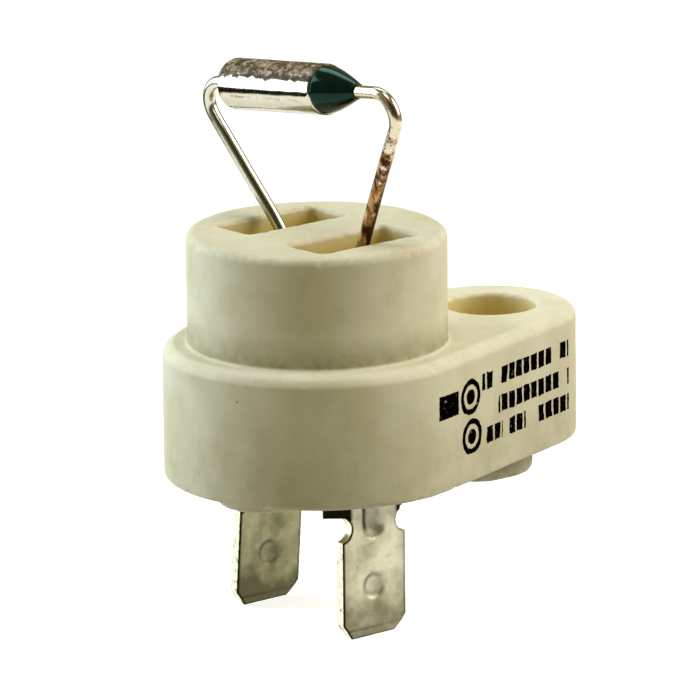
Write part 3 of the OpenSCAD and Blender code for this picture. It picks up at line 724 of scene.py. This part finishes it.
def settle(piece):
    """Replaces a piece's mesh by what its modifiers make of it, with all attributes."""
    bpy.context.view_layer.update()
    depsgraph = bpy.context.evaluated_depsgraph_get()
    evaluated = piece.evaluated_get(depsgraph)
    settled = bpy.data.meshes.new_from_object(evaluated, preserve_all_data_layers=True, depsgraph=depsgraph)
    piece.modifiers.clear()
    former, piece.data = piece.data, settled
    bpy.data.meshes.remove(former)
    settled.name = piece.name
    settled.shade_smooth()


def worn_copy(node, name, voxel, material):
    """A voxel copy of a CAD node in one even skin, with its sharp edges smoothed round."""
    welded = bmesh.new()
    welded.from_mesh(frame["nodes"][node].data)
    bmesh.ops.remove_doubles(welded, verts=welded.verts, dist=WELD * MM)
    mesh = bpy.data.meshes.new(name)
    welded.to_mesh(mesh)
    welded.free()
    piece = bpy.data.objects.new(name, mesh)
    bpy.context.collection.objects.link(piece)
    remesh = piece.modifiers.new("even_skin", "REMESH")
    remesh.mode = "VOXEL"
    remesh.voxel_size = voxel * MM
    settle(piece)
    set_points(piece, smoothed(piece, get_points(piece), ROUNDING))
    piece.data.materials.clear()
    piece.data.materials.append(material)
    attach(piece, "root")
    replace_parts(piece, node)
    return piece


print("Points closer than", WELD, "mm are welded, and edges get", ROUNDING, "rounds of smoothing")

# %% [markdown]
# ### Values that the materials read
# Rubbed edges, painted highlights, soil, painted shade and sheared brass sit at places that only the shape
# knows. They could be painted by hand. Here they are measured: a point that stands proud of its neighbours'
# middle lies on a convex edge, and a few comparisons with the part's sizes find pockets, ribs and rims. Each
# value is cut off below 0 and above 1, which makes a soft mask of it, and the mesh keeps it as an attribute.

# %% Helpers for masks
def share(values):
    """Values cut off below 0 and above 1."""
    return np.clip(values, 0, 1)


def store(piece, name, kind, values):
    """Stores one value per point as an attribute that a material can read."""
    attribute = piece.data.attributes.new(name, kind, "POINT")
    field = "vector" if kind == "FLOAT_VECTOR" else "value"
    attribute.data.foreach_set(field, np.ascontiguousarray(values, dtype=np.float32).ravel())


def sharpness(piece, reach):
    """How convex the surface is round each point: 1 where it stands proud by a reach, below 0 in corners."""
    bulge = -np.einsum("ij,ij->i", towards_neighbours(piece, get_points(piece)), get_normals(piece))
    return smoothed(piece, bulge, 3) / reach


print("Shares of -1, 0.5 and 2:", share(np.array([-1, 0.5, 2])))

# %% [markdown]
# ## The holder
#
# The flange, the ear and the collar are one pressing. Its outline in plan is a large circle, a small one,
# and the two straight lines that touch both. The distance to that outline could be measured from the mesh,
# but the plan is simple enough to write down, and it serves the edge, the soil and the label.

# %% The outline of flange and ear
EAR_REACH = 17.8
EAR_RADIUS = 6.8
FLANGE_RADIUS = 12.1


def depth_inside(flat):
    """How far inside the outline of flange and ear each place of the plan lies."""
    along, across = flat[:, 0], np.abs(flat[:, 1])
    lean = (FLANGE_RADIUS - EAR_RADIUS) / EAR_REACH
    level = math.sqrt(1 - lean**2)
    walked = along * level - across * lean
    flange_end = FLANGE_RADIUS - np.hypot(along, across)
    ear_end = EAR_RADIUS - np.hypot(along - EAR_REACH, across)
    side = FLANGE_RADIUS - (across * level + along * lean)
    return np.select([walked < 0, walked > EAR_REACH * level], [flange_end, ear_end], side)


print("The ear's middle lies", depth_inside(np.array([[EAR_REACH, 0]]))[0].round(2), "mm inside")

# %% [markdown]
# The remesh at 0.13 mm gives the pressed edges a soft line. In the photograph the flange's upper edge is
# broken further, so it takes 0.4 of a bevel of 0.85 mm. Two noises then move the surface: a broad one of
# 0.03 mm, because the part warps a little in the kiln, and small chips of about 0.1 mm, along convex edges
# only.

# %% Shape the holder
HOLDER_VOXEL = 0.13
# How far a point on a sharp edge of this skin stands proud of its neighbours' middle.
HOLDER_PROUD = 0.013
BEVEL = 0.85
BEVEL_SHARE = 0.4
WARP = 0.03
CHIP = 0.22

holder = worn_copy("holder_body", "pressed_holder", HOLDER_VOXEL, steatite)
convex = share(sharpness(holder, HOLDER_PROUD))
points = get_points(holder)
normals = get_normals(holder)
x, y, z = points.T
level_part = np.hypot(normals[:, 0], normals[:, 1])
# How far each point stands out of a bevel at 45 degrees along the flange's upper edge.
cut = np.clip(BEVEL - depth_inside(points[:, :2]) + z, 0, None) * (z < 0.1)
points -= normals * (BEVEL_SHARE * cut / np.maximum(level_part + normals[:, 2], 0.7))[:, None]

warp = WARP * noise_at(points, 4.5, 1)
chipped = share(noise_at(points, 0.9, 2) - 0.2) * share(convex * 1.5)
set_points(holder, points + normals * (warp - CHIP * chipped)[:, None])
print("Holder points:", len(points), "and the share near an edge:", round(float((convex > 0.5).mean()), 3))

# %% [markdown]
# Then the holder gets its masks. Pockets and recess are hollows, for the painted bounce light. Soil lies on
# the collar's top, painted shade on the boss below the ear, and the walls are made darker low down. The
# border of this mask of soil and shade is smoothed twice.

# %% Masks of the holder
COLLAR_HEIGHT = 8.85
POCKET_MIDDLE = 4.35
POCKET_HALF_LENGTH = 5.2
POCKET_HALF_WIDTH = 2.4
RECESS_RADIUS = 3.65
RECESS_LIMIT = -6
BOSS_RADIUS = 4.9
SOIL_AND_SHADE_ROUNDS = 2
# The sides of a hollow's mask fade over a quarter of a millimetre, and its mouth over 1.2 mm of depth.
SIDE_FADE = 4
MOUTH_FADE = 1.2

depth = depth_inside(points[:, :2])
on_bevel = share(level_part * 4) * share(normals[:, 2] * 4)
on_bevel *= (np.abs(z + BEVEL / 2) < 0.7 * BEVEL) & (depth < BEVEL)

in_pocket = share((POCKET_HALF_LENGTH - np.abs(x)) * SIDE_FADE)
in_pocket *= share((POCKET_HALF_WIDTH - np.abs(np.abs(y) - POCKET_MIDDLE)) * SIDE_FADE)
in_pocket *= share((COLLAR_HEIGHT + 0.1 - z) / MOUTH_FADE)
from_screw = np.hypot(x - EAR_REACH, y)
in_recess = share((RECESS_RADIUS + 0.25 - from_screw) * SIDE_FADE)
in_recess *= share((0.1 - z) / MOUTH_FADE) * (z > RECESS_LIMIT)

# Soil on the collar's top, painted shade on the boss under the ear, and a darker tone low on the walls.
on_top = 0.2 * share((z - COLLAR_HEIGHT) * 2 + 1.6)
shade_under_ear = (from_screw < BOSS_RADIUS + 0.4) & (z < 0.15 - FLANGE_HEIGHT)
low_wall = 0.3 * share((-z - 2) / 7) * (normals[:, 2] > -0.5) * (depth < 1)
soiling_and_shade = np.maximum.reduce([on_top, 0.7 * shade_under_ear, low_wall])

store(holder, "edge", "FLOAT", convex)
store(holder, "bevel", "FLOAT", on_bevel)
store(holder, "hollow", "FLOAT", np.maximum(0.8 * in_pocket, 0.7 * in_recess))
store(holder, "soil_and_shade", "FLOAT", smoothed(holder, soiling_and_shade, SOIL_AND_SHADE_ROUNDS))
print("Share of the holder's points in a hollow:", round(float((in_pocket + in_recess > 0.5).mean()), 3))

# %% [markdown]
# The label lies on the straight side of the ear and runs on round its end. Its place along the side is the
# distance walked along the outline, so that the blocks keep their width round the bend.
#
# When all values are stored, the skin is thinned where it is flattest, so that the piece stays light
# enough to be used elsewhere.

# %% The label's place on the holder
HOLDER_TRIANGLES = 190_000
# The label starts here along the side, counted from the collar's axis. Deeper than this is no wall.
LABEL_START = -3
WALL_DEPTH = 1.2


def thin_out(piece, most_triangles):
    """Merges points where a piece is flattest, until it has no more than a number of triangles."""
    piece.data.calc_loop_triangles()
    fewer = piece.modifiers.new("fewer_triangles", "DECIMATE")
    fewer.ratio = min(1, most_triangles / len(piece.data.loop_triangles))
    settle(piece)


side_angle = math.asin((FLANGE_RADIUS - EAR_RADIUS) / EAR_REACH)
side_run = np.array([math.cos(side_angle), math.sin(side_angle)])
side_out = np.array([math.sin(side_angle), -math.cos(side_angle)])
flat = points[:, :2]
along_side = flat @ side_run
bend_start = np.array([EAR_REACH, 0]) @ side_run
round_ear = flat - np.array([EAR_REACH, 0])
bend_angle = np.arctan2(round_ear @ side_run, round_ear @ side_out)
walked_round = bend_start + EAR_RADIUS * np.clip(bend_angle, 0, math.pi)
along_label = np.where(along_side > bend_start, walked_round, along_side)

faces_out = (normals[:, :2] @ side_out > 0.2) & (np.abs(normals[:, 2]) < 0.4)
near_side = (y < 0) & (depth < WALL_DEPTH) & (along_side > LABEL_START)
on_label = (faces_out & near_side).astype(float)
store(holder, "label_place", "FLOAT_VECTOR", np.column_stack([along_label, z, on_label]))
thin_out(holder, HOLDER_TRIANGLES)
print("The bend of the label starts", round(float(bend_start), 1), "mm along")
print("Holder points that are left:", len(holder.data.vertices))

# %% [markdown]
# ## The terminals
#
# Each terminal is punched from 0.8 mm strip, and the rear one leans outwards by 5 degrees. A remesh at
# 0.07 mm keeps the notches, the dimple, the rib and the thinned tip, and its smoothing gives the edges the
# small radius that a punch leaves. Dimple and rib are pressed into the strip, which flows in wide curves,
# so only their points are smoothed another 40 times.

# %% Press the terminals
TAB_VOXEL = 0.07
REAR_LEAN = math.radians(5)
RIB_BOTTOM = -14.6
DIMPLE_HEIGHT = -18.4
PRESS_REACH = 1.7
PRESS_ROUNDS = 40

tabs = []
for node, name, lean, finish in (
    ("front_terminal", "front_tab", 0.0, front_tin),
    ("rear_terminal", "rear_tab", REAR_LEAN, shaded_rear_tin),
):
    tab = worn_copy(node, name, TAB_VOXEL, finish)
    points = get_points(tab)
    x, y, z = points.T
    pressed_in = np.hypot(x, z - DIMPLE_HEIGHT) < PRESS_REACH
    pressed_in |= (np.abs(x) < PRESS_REACH) & (z > RIB_BOTTOM - 0.4) & (z < -FLANGE_HEIGHT)
    for _ in range(PRESS_ROUNDS):
        points[pressed_in] += HALF_STEP * towards_neighbours(tab, points)[pressed_in]
    set_points(tab, points)
    tabs.append((tab, lean, points, pressed_in))
    print(name, "points:", len(points), "of which pressed:", int(pressed_in.sum()))

# %% [markdown]
# Painted shade lies on the turned back sides of the head, in the rib, in a ring round the dimple that is
# darker on its upper left, and thinly beside the tab's edges.

# %% Painted shade on the terminals
HEAD_HALF = 2.0
HEAD_BOTTOM = -12.9
TAB_FACE = 6.6
RIB_HALF = 1.3
DIMPLE_RING = 0.82
RING_WIDTH = 0.2
SHOULDER = -14.3

for tab, _, points, _ in tabs:
    x, y, z = points.T
    turned_back = share((np.abs(x) - HEAD_HALF) * 2.5) * (z > HEAD_BOTTOM)
    in_rib = share((TAB_FACE - np.abs(y) - 0.1) * 3) * (np.abs(x) < RIB_HALF)
    in_rib *= share((z - RIB_BOTTOM) * 1.2)
    rib_side = np.clip(0.35 - x / RIB_HALF, 0.5, 1)
    rise = z - DIMPLE_HEIGHT
    reach = np.hypot(x, rise)
    around_dimple = share(1.5 - np.abs(reach - DIMPLE_RING) / RING_WIDTH)
    around_dimple *= 0.42 + 0.16 * (rise - x) / np.maximum(reach, 0.1)
    beside = 0.3 * share((np.abs(x) - 2.3) / 0.9) * (z < SHOULDER)
    painted_shade = np.maximum.reduce([turned_back, rib_side * in_rib, around_dimple, beside])
    store(tab, "painted_shade", "FLOAT", painted_shade)
    print(tab.name, "mean grime:", round(float(painted_shade.mean()), 3))

# %% [markdown]
# Sheared edges are found by their normals: they look along the sheet, not out of it. The painted dark line of
# shade beside them runs along every convex edge and along the straight sides of the tab, twice as strong on
# the left. Last, the sheet is bowed by a hundredth of a millimetre, so that its mirror image wavers.

# %% Edges of the terminals
TAB_HALF_WIDTH = 3.175
# How far a point on a sharp edge of this finer skin stands proud.
TAB_PROUD = 0.0025
EDGE_LINE = 0.16
BOW = 0.012

for tab, lean, points, pressed_in in tabs:
    x, y, z = points.T
    normals = get_normals(tab)
    through_sheet = np.array([0, math.cos(lean), math.sin(lean)])
    edge_on = 1 - np.abs(normals @ through_sheet)
    below = z < -FLANGE_HEIGHT - 0.2
    store(tab, "sheared", "FLOAT", share((edge_on - 0.55) * 3) * below)
    rounded = share(sharpness(tab, TAB_PROUD)) * below * ~pressed_in
    beside_edge = share((np.abs(x) - TAB_HALF_WIDTH) / EDGE_LINE + 1.8) * (z < SHOULDER)
    line = np.maximum(rounded, beside_edge) * share((0.75 - edge_on) * 4)
    store(tab, "outline", "FLOAT", line * np.where(x < 0, 1.0, 0.5))
    set_points(tab, points + normals * (BOW * noise_at(points, 3.0, 4))[:, None])
    print(tab.name, "share of points on a sheared edge:", round(float((edge_on > 0.55).mean()), 3))

# %% [markdown]
# ## The fuse's case
#
# The case is drawn from sheet: a closed, rounded end that the first lead is staked to, and an open end
# that is rolled in over the bushing. A screw modifier could turn its profile, but rings need no modifier.
# The profile holds distances along the axis and radii, and it is turned with 96 sides. Noise of 0.012 mm
# gives the faint dents that make its reflections wobble.

# %% Build the case
CASE_RADIUS = 2.0
CASE_LENGTH = 11.4
CASE_WALL = 0.25
CASE_END = 0.4
CASE_ROUND = 0.5
CASE_SIDES = 96
LIP = 0.2
LEAD_RADIUS = 0.5
SEAL_START = 10.75
DENT = 0.012

fuse_start = np.array(FUSE_START)
fuse_along = np.array(FUSE_ALONG)


def on_fuse(distance):
    """The place on the fuse's axis at a distance from the closed end."""
    return fuse_start + distance * fuse_along


def arc(centre, radius, start, end, steps):
    """Points of an arc in the plane of distance and radius, with its angles in degrees."""
    turns = np.radians(np.linspace(start, end, steps))
    return [(centre[0] + radius * math.sin(a), centre[1] + radius * math.cos(a)) for a in turns]


def turned(name, profile, sides, material, slot, node):
    """A piece turned round the fuse's axis from a closed profile of distances and radii."""
    places = [on_fuse(distance) for distance, _ in profile]
    rings = rings_along(places, [fuse_along] * len(profile), [radius for _, radius in profile], sides)
    piece = make_piece(name, *skin(rings, closed=True), material, slot)
    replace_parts(piece, node)
    return piece


inner = CASE_RADIUS - CASE_WALL
case_profile = (
    [(CASE_END, LEAD_RADIUS + 0.02), (0.02, LEAD_RADIUS + 0.02), (0.0, LEAD_RADIUS + 0.06), (0.0, 1.1)]
    + arc((CASE_ROUND, CASE_RADIUS - CASE_ROUND), CASE_ROUND, -90, 0, 9)
    + [(distance, CASE_RADIUS) for distance in np.linspace(1, CASE_LENGTH - LIP - 0.3, 30)]
    + arc((CASE_LENGTH - LIP, CASE_RADIUS - LIP), LIP, 0, 90, 6)
    + [(CASE_LENGTH, inner - LIP), (SEAL_START, inner - LIP), (SEAL_START, inner), (CASE_END, inner)]
)
case = turned("silvered_case", case_profile, CASE_SIDES, case_silver, "case_metal", "fuse_case")
points = get_points(case)
dents = DENT * noise_at(points, 1.6, 5) + DENT / 2 * noise_at(points, 0.5, 6)
set_points(case, points + get_normals(case) * dents[:, None])
print("Case points:", len(points))

# %% [markdown]
# ## The seal
#
# Liquid epoxy wets the case's rim and the lead, and pulls itself into a tapering drop. Its radius falls
# slowly at first and then faster, which a power a little above 1 gives, and ends in a thin film on the
# wire. A broad noise lets the drop slump, but only on its outside.

# %% Build the seal
SEAL_LENGTH = 3.5
SEAL_TIP = 0.65
SEAL_POWER = 1.25
SEAL_SIDES = 64
SLUMP = 0.03

seal_base = CASE_RADIUS - LIP / 2
taper = [
    (CASE_LENGTH + SEAL_LENGTH * t, SEAL_TIP + (seal_base - SEAL_TIP) * (1 - t**SEAL_POWER))
    for t in np.linspace(0, 1, 28)
]
film = arc((CASE_LENGTH + SEAL_LENGTH, LEAD_RADIUS), SEAL_TIP - LEAD_RADIUS, 15, 85, 5)
seal_profile = (
    [(SEAL_START, LEAD_RADIUS), (SEAL_START, inner - LIP), (CASE_LENGTH, inner - LIP)] + taper + film
)
seal = turned("epoxy_seal", seal_profile, SEAL_SIDES, epoxy, "epoxy", "seal")
points = get_points(seal)
outside = np.linalg.norm(np.cross(points - fuse_start, fuse_along), axis=1) > SEAL_TIP - 0.05
slump = SLUMP * noise_at(points, 2.2, 7) * outside
set_points(seal, points + get_normals(seal) * slump[:, None])
print("Seal points:", len(points))

# %% [markdown]
# ## The leads
#
# Each lead is one wire: out of the fuse, round a tight bend, slanting down and inwards into its pocket, and
# straight down through the crimp. The line is made of straight runs joined by arcs, and it is cut into
# steps of about 0.2 mm. A spline would need fewer points, but it bulges beside a tight bend, which wire
# doesn't.

# %% The line of a bent wire
WIRE_STEP = 0.2


def rounded_line(corners, radii):
    """Places and directions along straight runs that are joined by arcs."""
    corners = [np.asarray(c, dtype=float) for c in corners]
    places, directions = [], []

    def run(start, end):
        length = np.linalg.norm(end - start)
        count = max(2, int(length / WIRE_STEP))
        for t in np.linspace(0, 1, count, endpoint=False):
            places.append(start + (end - start) * t)
            directions.append((end - start) / length)

    here = corners[0]
    for i, radius in enumerate(radii, start=1):
        into = corners[i] - corners[i - 1]
        into /= np.linalg.norm(into)
        out = corners[i + 1] - corners[i]
        out /= np.linalg.norm(out)
        angle = math.acos(np.clip(into @ out, -1, 1))
        inward = np.cross(np.cross(into, out), into)
        inward /= np.linalg.norm(inward)
        start = corners[i] - radius * math.tan(angle / 2) * into
        run(here, start)
        steps = max(6, int(radius * angle / WIRE_STEP))
        for a in np.linspace(0, angle, steps, endpoint=False):
            places.append(start + radius * (math.sin(a) * into + (1 - math.cos(a)) * inward))
            directions.append(math.cos(a) * into + math.sin(a) * inward)
        here = start + radius * (math.sin(angle) * into + (1 - math.cos(angle)) * inward)
    run(here, corners[-1])
    places.append(corners[-1])
    directions.append(directions[-1])
    return np.array(places), np.array(directions)


print("Places on an elbow:", len(rounded_line([(0, 0, 5), (0, 0, 0), (0, 5, 0)], [2])[0]))

# %% [markdown]
# The wire is hand bent, so its thickness and its line wander by a few hundredths of a millimetre, and its
# free part leans sideways between fuse and collar: the case's lead by up to 0.36 mm, the sealed one by up
# to 0.1 mm. Inside the fuse each lead ends in a flat head that can't be pulled out.

# %% Build the leads
LEAD_END = -1.35
LEAD_SIDES = 32
HEAD_RADIUS = 0.75
HEAD_LENGTH = 0.3
CONTACT = 6.65
CASE_BEND_PLACE = 12.5
SEALED_BEND_PLACE = -12.7
WANDER = 0.05


def bent_lead(name, node, material, head, out_of_fuse, bend_place, turn_height, side, bends, sway, seed):
    """One lead with its head inside the fuse, from the fuse's axis down to its tail in the pocket."""
    bend_distance = (FUSE_START[1] - bend_place) / math.cos(FUSE_SLOPE)
    corners = [on_fuse(out_of_fuse), on_fuse(bend_distance), (0, side, turn_height), (0, side, LEAD_END)]
    places, directions = rounded_line(corners, bends)
    radii = LEAD_RADIUS * (1 + 0.02 * noise_at(places, 1.3, seed))
    # The wire is held in its pocket and wanders above it, and its sway is greatest at the collar's rim.
    free = share((places[:, 2] - 4) / 4)[:, None]
    wander = np.column_stack([noise_at(places, 5.0, seed + k) for k in (1, 2, 3)])
    places = places + WANDER * free * wander
    leaning = share((16 - places[:, 2]) / 7) * share((places[:, 2] - 3) / 5)
    places[:, 0] += sway * leaning
    places = np.concatenate([[on_fuse(head), on_fuse(out_of_fuse), on_fuse(out_of_fuse)], places])
    directions = np.concatenate([[directions[0]] * 3, directions])
    radii = np.concatenate([[HEAD_RADIUS, HEAD_RADIUS, LEAD_RADIUS], radii])
    rings = rings_along(places, directions, radii, LEAD_SIDES)
    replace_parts(make_piece(name, *skin(rings), material, "lead_wire"), node)
    print(name, "rings:", len(places))


bent_lead(
    "silvered_lead", "case_lead", clean_wire, head=CASE_END + HEAD_LENGTH, out_of_fuse=CASE_END,
    bend_place=CASE_BEND_PLACE, turn_height=COLLAR_HEIGHT - 1.3, side=POCKET_MIDDLE,
    bends=(1.8, 3.0), sway=0.36, seed=20,
)
bent_lead(
    "worn_lead", "sealed_lead", worn_wire, head=CONTACT, out_of_fuse=CONTACT + HEAD_LENGTH,
    bend_place=SEALED_BEND_PLACE, turn_height=COLLAR_HEIGHT - 2.95, side=-POCKET_MIDDLE,
    bends=(1.9, 3.0), sway=0.1, seed=30,
)

# %% [markdown]
# ## Pieces that stay as the CAD has them
#
# What lies inside the case is already right in shape. It could be rebuilt from rings as well, but no view
# shows it, so these nodes only trade their plain material for one of the finishes above.

# %% Finish the inner pieces
INNER_FINISHES = {
    "thermal_pellet": powder,
    "bushing": alumina,
    "star_contact": contact_silver,
    "pellet_disc": steel,
    "contact_disc": steel,
    "compression_spring": steel,
    "trip_spring": steel,
}
for node, finish in INNER_FINISHES.items():
    slots = frame["nodes"][node].data.materials
    if not slots:
        slots.append(finish)
    for i in range(len(slots)):
        slots[i] = finish
print("Inner pieces finished:", len(INNER_FINISHES))

# %% [markdown]
# ## Softboxes
#
# The photograph is a cut-out on white. Its light is easy to read from the collar, which is a plain round
# wall: bright at both sides, three times darker in the middle, where it faces the camera. So there is one
# tall softbox on the left, a little behind the object, and one on the right, almost square to it. The left
# one is slightly cooler. A small, weak one overhead lights what faces up. One even sky could light the
# part as well, but area lights of a real size can each be set by themselves.

# %% Hang the softboxes
def softbox(name, turn_degrees, centre_height, distance, width, height, power, colour):
    """An area light, at an angle round the object from the camera's side, aimed at the object."""
    turn = math.radians(turn_degrees)
    side = -away * math.cos(turn) + level_right * math.sin(turn)
    place = side * distance + Vector((0, 0, centre_height))
    data = bpy.data.lights.new(name, "AREA")
    data.shape = "RECTANGLE"
    data.size = width * MM
    data.size_y = height * MM
    data.energy = power
    data.color = linear(colour)[:3]
    light = bpy.data.objects.new(name, data)
    light.location = place * MM
    light.rotation_euler = (Vector((0, 0, 0)) - place).to_track_quat("-Z", "Y").to_euler()
    bpy.context.collection.objects.link(light)


# Each softbox: its turn, the height and distance of its middle, its width and height, power and colour.
softbox("left_softbox", -110, 180, 500, 420, 580, 4.15, "#e3f3ff")
softbox("right_softbox", 95, 290, 480, 420, 420, 2.8, "#fffbf6")
softbox("overhead_softbox", 0, 600, 90, 220, 220, 0.85, "#f2f6ff")
print("Softboxes:", [light.name for light in bpy.data.lights])

# %% [markdown]
# ## Room and floor
#
# Between the softboxes the room is dim and warm, but the camera sees white paper there, as in the cut-out.
# A light path node tells the two apart, and the Standard view keeps the paper's white as it is.
#
# A pale floor carries the object. It runs on in front, below the whole picture, and is cut short behind,
# where the case mirrors its edge. It is kept from lighting the ceramic, because in the photograph the lower
# edge stays as dark as the rest. Metal still mirrors it.

# %% Set the room
world = bpy.data.worlds.new("dim_studio")
world.use_nodes = True
bpy.context.scene.world = world
tree = world.node_tree
room = tree.nodes["Background"]
room.inputs["Color"].default_value = linear("#928d6e")
room.inputs["Strength"].default_value = 0.98
paper = add(tree, "Background", {"Color": linear("#ffffff"), "Strength": 1.1})
seen = add(tree, "LightPath").outputs["Is Camera Ray"]
sky = add(tree, "MixShader", {0: seen, 1: room, 2: paper})
tree.links.new(sky.outputs[0], tree.nodes["World Output"].inputs["Surface"])
bpy.context.scene.view_settings.view_transform = "Standard"
print("The room's light in linear values:", [round(value, 3) for value in linear("#928d6e")[:3]])

# %% Lay the floor
FLOOR_REACH = 200
FLOOR_BACK = 75
FLOOR_GAP = 0.02

floor_material, tree, shader, place = start_material("pale_floor", Roughness=0.9, Specular_IOR_Level=0.1)
paper_grain = add(tree, "TexNoise", {"Vector": place, "Scale": per(1.2), "Detail": 3.0})
tones = {"Factor": paper_grain, "A": linear("#d6d6d4"), "B": linear("#cfcfcc")}
connect(tree, shader, Base_Color=add(tree, "Mix", tones, data_type="RGBA"))
shader.inputs["Emission Color"].default_value = linear("#ffffff")
shader.inputs["Emission Strength"].default_value = 0.75

lowest = cad_bounds[0][2] / MM - FLOOR_GAP
plan = ((-1, -FLOOR_REACH), (1, -FLOOR_REACH), (1, FLOOR_BACK), (-1, FLOOR_BACK))
corners = [(x * FLOOR_REACH * MM, y * MM, lowest * MM) for x, y in plan]
floor_mesh = bpy.data.meshes.new("pale_floor")
floor_mesh.from_pydata(corners, [], [(0, 1, 2, 3)])
floor_mesh.materials.append(floor_material)
floor = bpy.data.objects.new("pale_floor", floor_mesh)
bpy.context.collection.objects.link(floor)
floor.visible_diffuse = False
print("Floor at", round(lowest, 2), "mm")

# %% [markdown]
# ## What metal and epoxy mirror
#
# Metal looks like what stands round it, so three upright cards stand where the photograph shows their
# mirror images. The tabs face a dark curtain behind the camera. The case shows a dark line, which a low
# black board on the left gives. The upper sides of case and seal mirror a pale teal reflector high behind
# the object. Softboxes could do part of this, but a card changes only what mirrors it: no soft light
# comes from it, and the camera doesn't see it.

# %% Set up the cards
def card(name, finish, middle, width, height, light_colour, dark_colour, weave, glow=0.0):
    """An upright sheet that faces the object. With a glow it shines in its two colours."""
    facing = Vector((0, 0, middle.z)) - middle
    across = facing.cross(Vector((0, 0, 1))).normalized()
    corners = [
        (middle + across * x * width / 2 + Vector((0, 0, z * height / 2))) * MM
        for x, z in ((-1, -1), (1, -1), (1, 1), (-1, 1))
    ]
    material, tree, shader, place = start_material(finish, Roughness=1.0, Specular_IOR_Level=0.0)
    threads = add(tree, "TexNoise", {"Vector": place, "Scale": per(weave), "Detail": 2.0})
    tones = {"Factor": threads, "A": linear(light_colour), "B": linear(dark_colour)}
    tone = add(tree, "Mix", tones, data_type="RGBA")
    if glow:
        connect(tree, shader, Emission_Color=tone)
        shader.inputs["Emission Strength"].default_value = glow
    else:
        connect(tree, shader, Base_Color=tone)
    mesh = bpy.data.meshes.new(name)
    mesh.from_pydata(corners, [], [(0, 1, 2, 3)])
    mesh.materials.append(material)
    sheet = bpy.data.objects.new(name, mesh)
    bpy.context.collection.objects.link(sheet)
    sheet.visible_diffuse = False
    sheet.visible_shadow = False
    sheet.visible_camera = False
    print(name, "is", width, "by", height, "mm")


# Each card: its finish, its middle, its width and height, two colours, the size of its weave, its glow.
behind_camera = -away * 900 + Vector((0, 0, 380))
low_on_the_left = Vector((-212, 254, -90))
high_behind = away * 260 + Vector((0, 0, 400))
card("dark_curtain", "dark_cloth", behind_camera, 1500, 1300, "#6b6a50", "#565541", 90)
card("black_board", "black_board", low_on_the_left, 500, 80, "#23221a", "#1a1912", 20)
card("white_reflector", "white_reflector", high_behind, 320, 240, "#b9ecdc", "#a3e0cd", 5, glow=4.0)

# %% [markdown]
# ## Sizes, and the end
#
# The CAD model's box is printed as plain numbers. The dressed object has to keep the CAD model's
# size.

# %% Print the CAD box
def plain(corners):
    """A box as two plain lists of numbers."""
    return [[float(value) for value in corner] for corner in corners]


print("CAD box:", plain(cad_bounds))
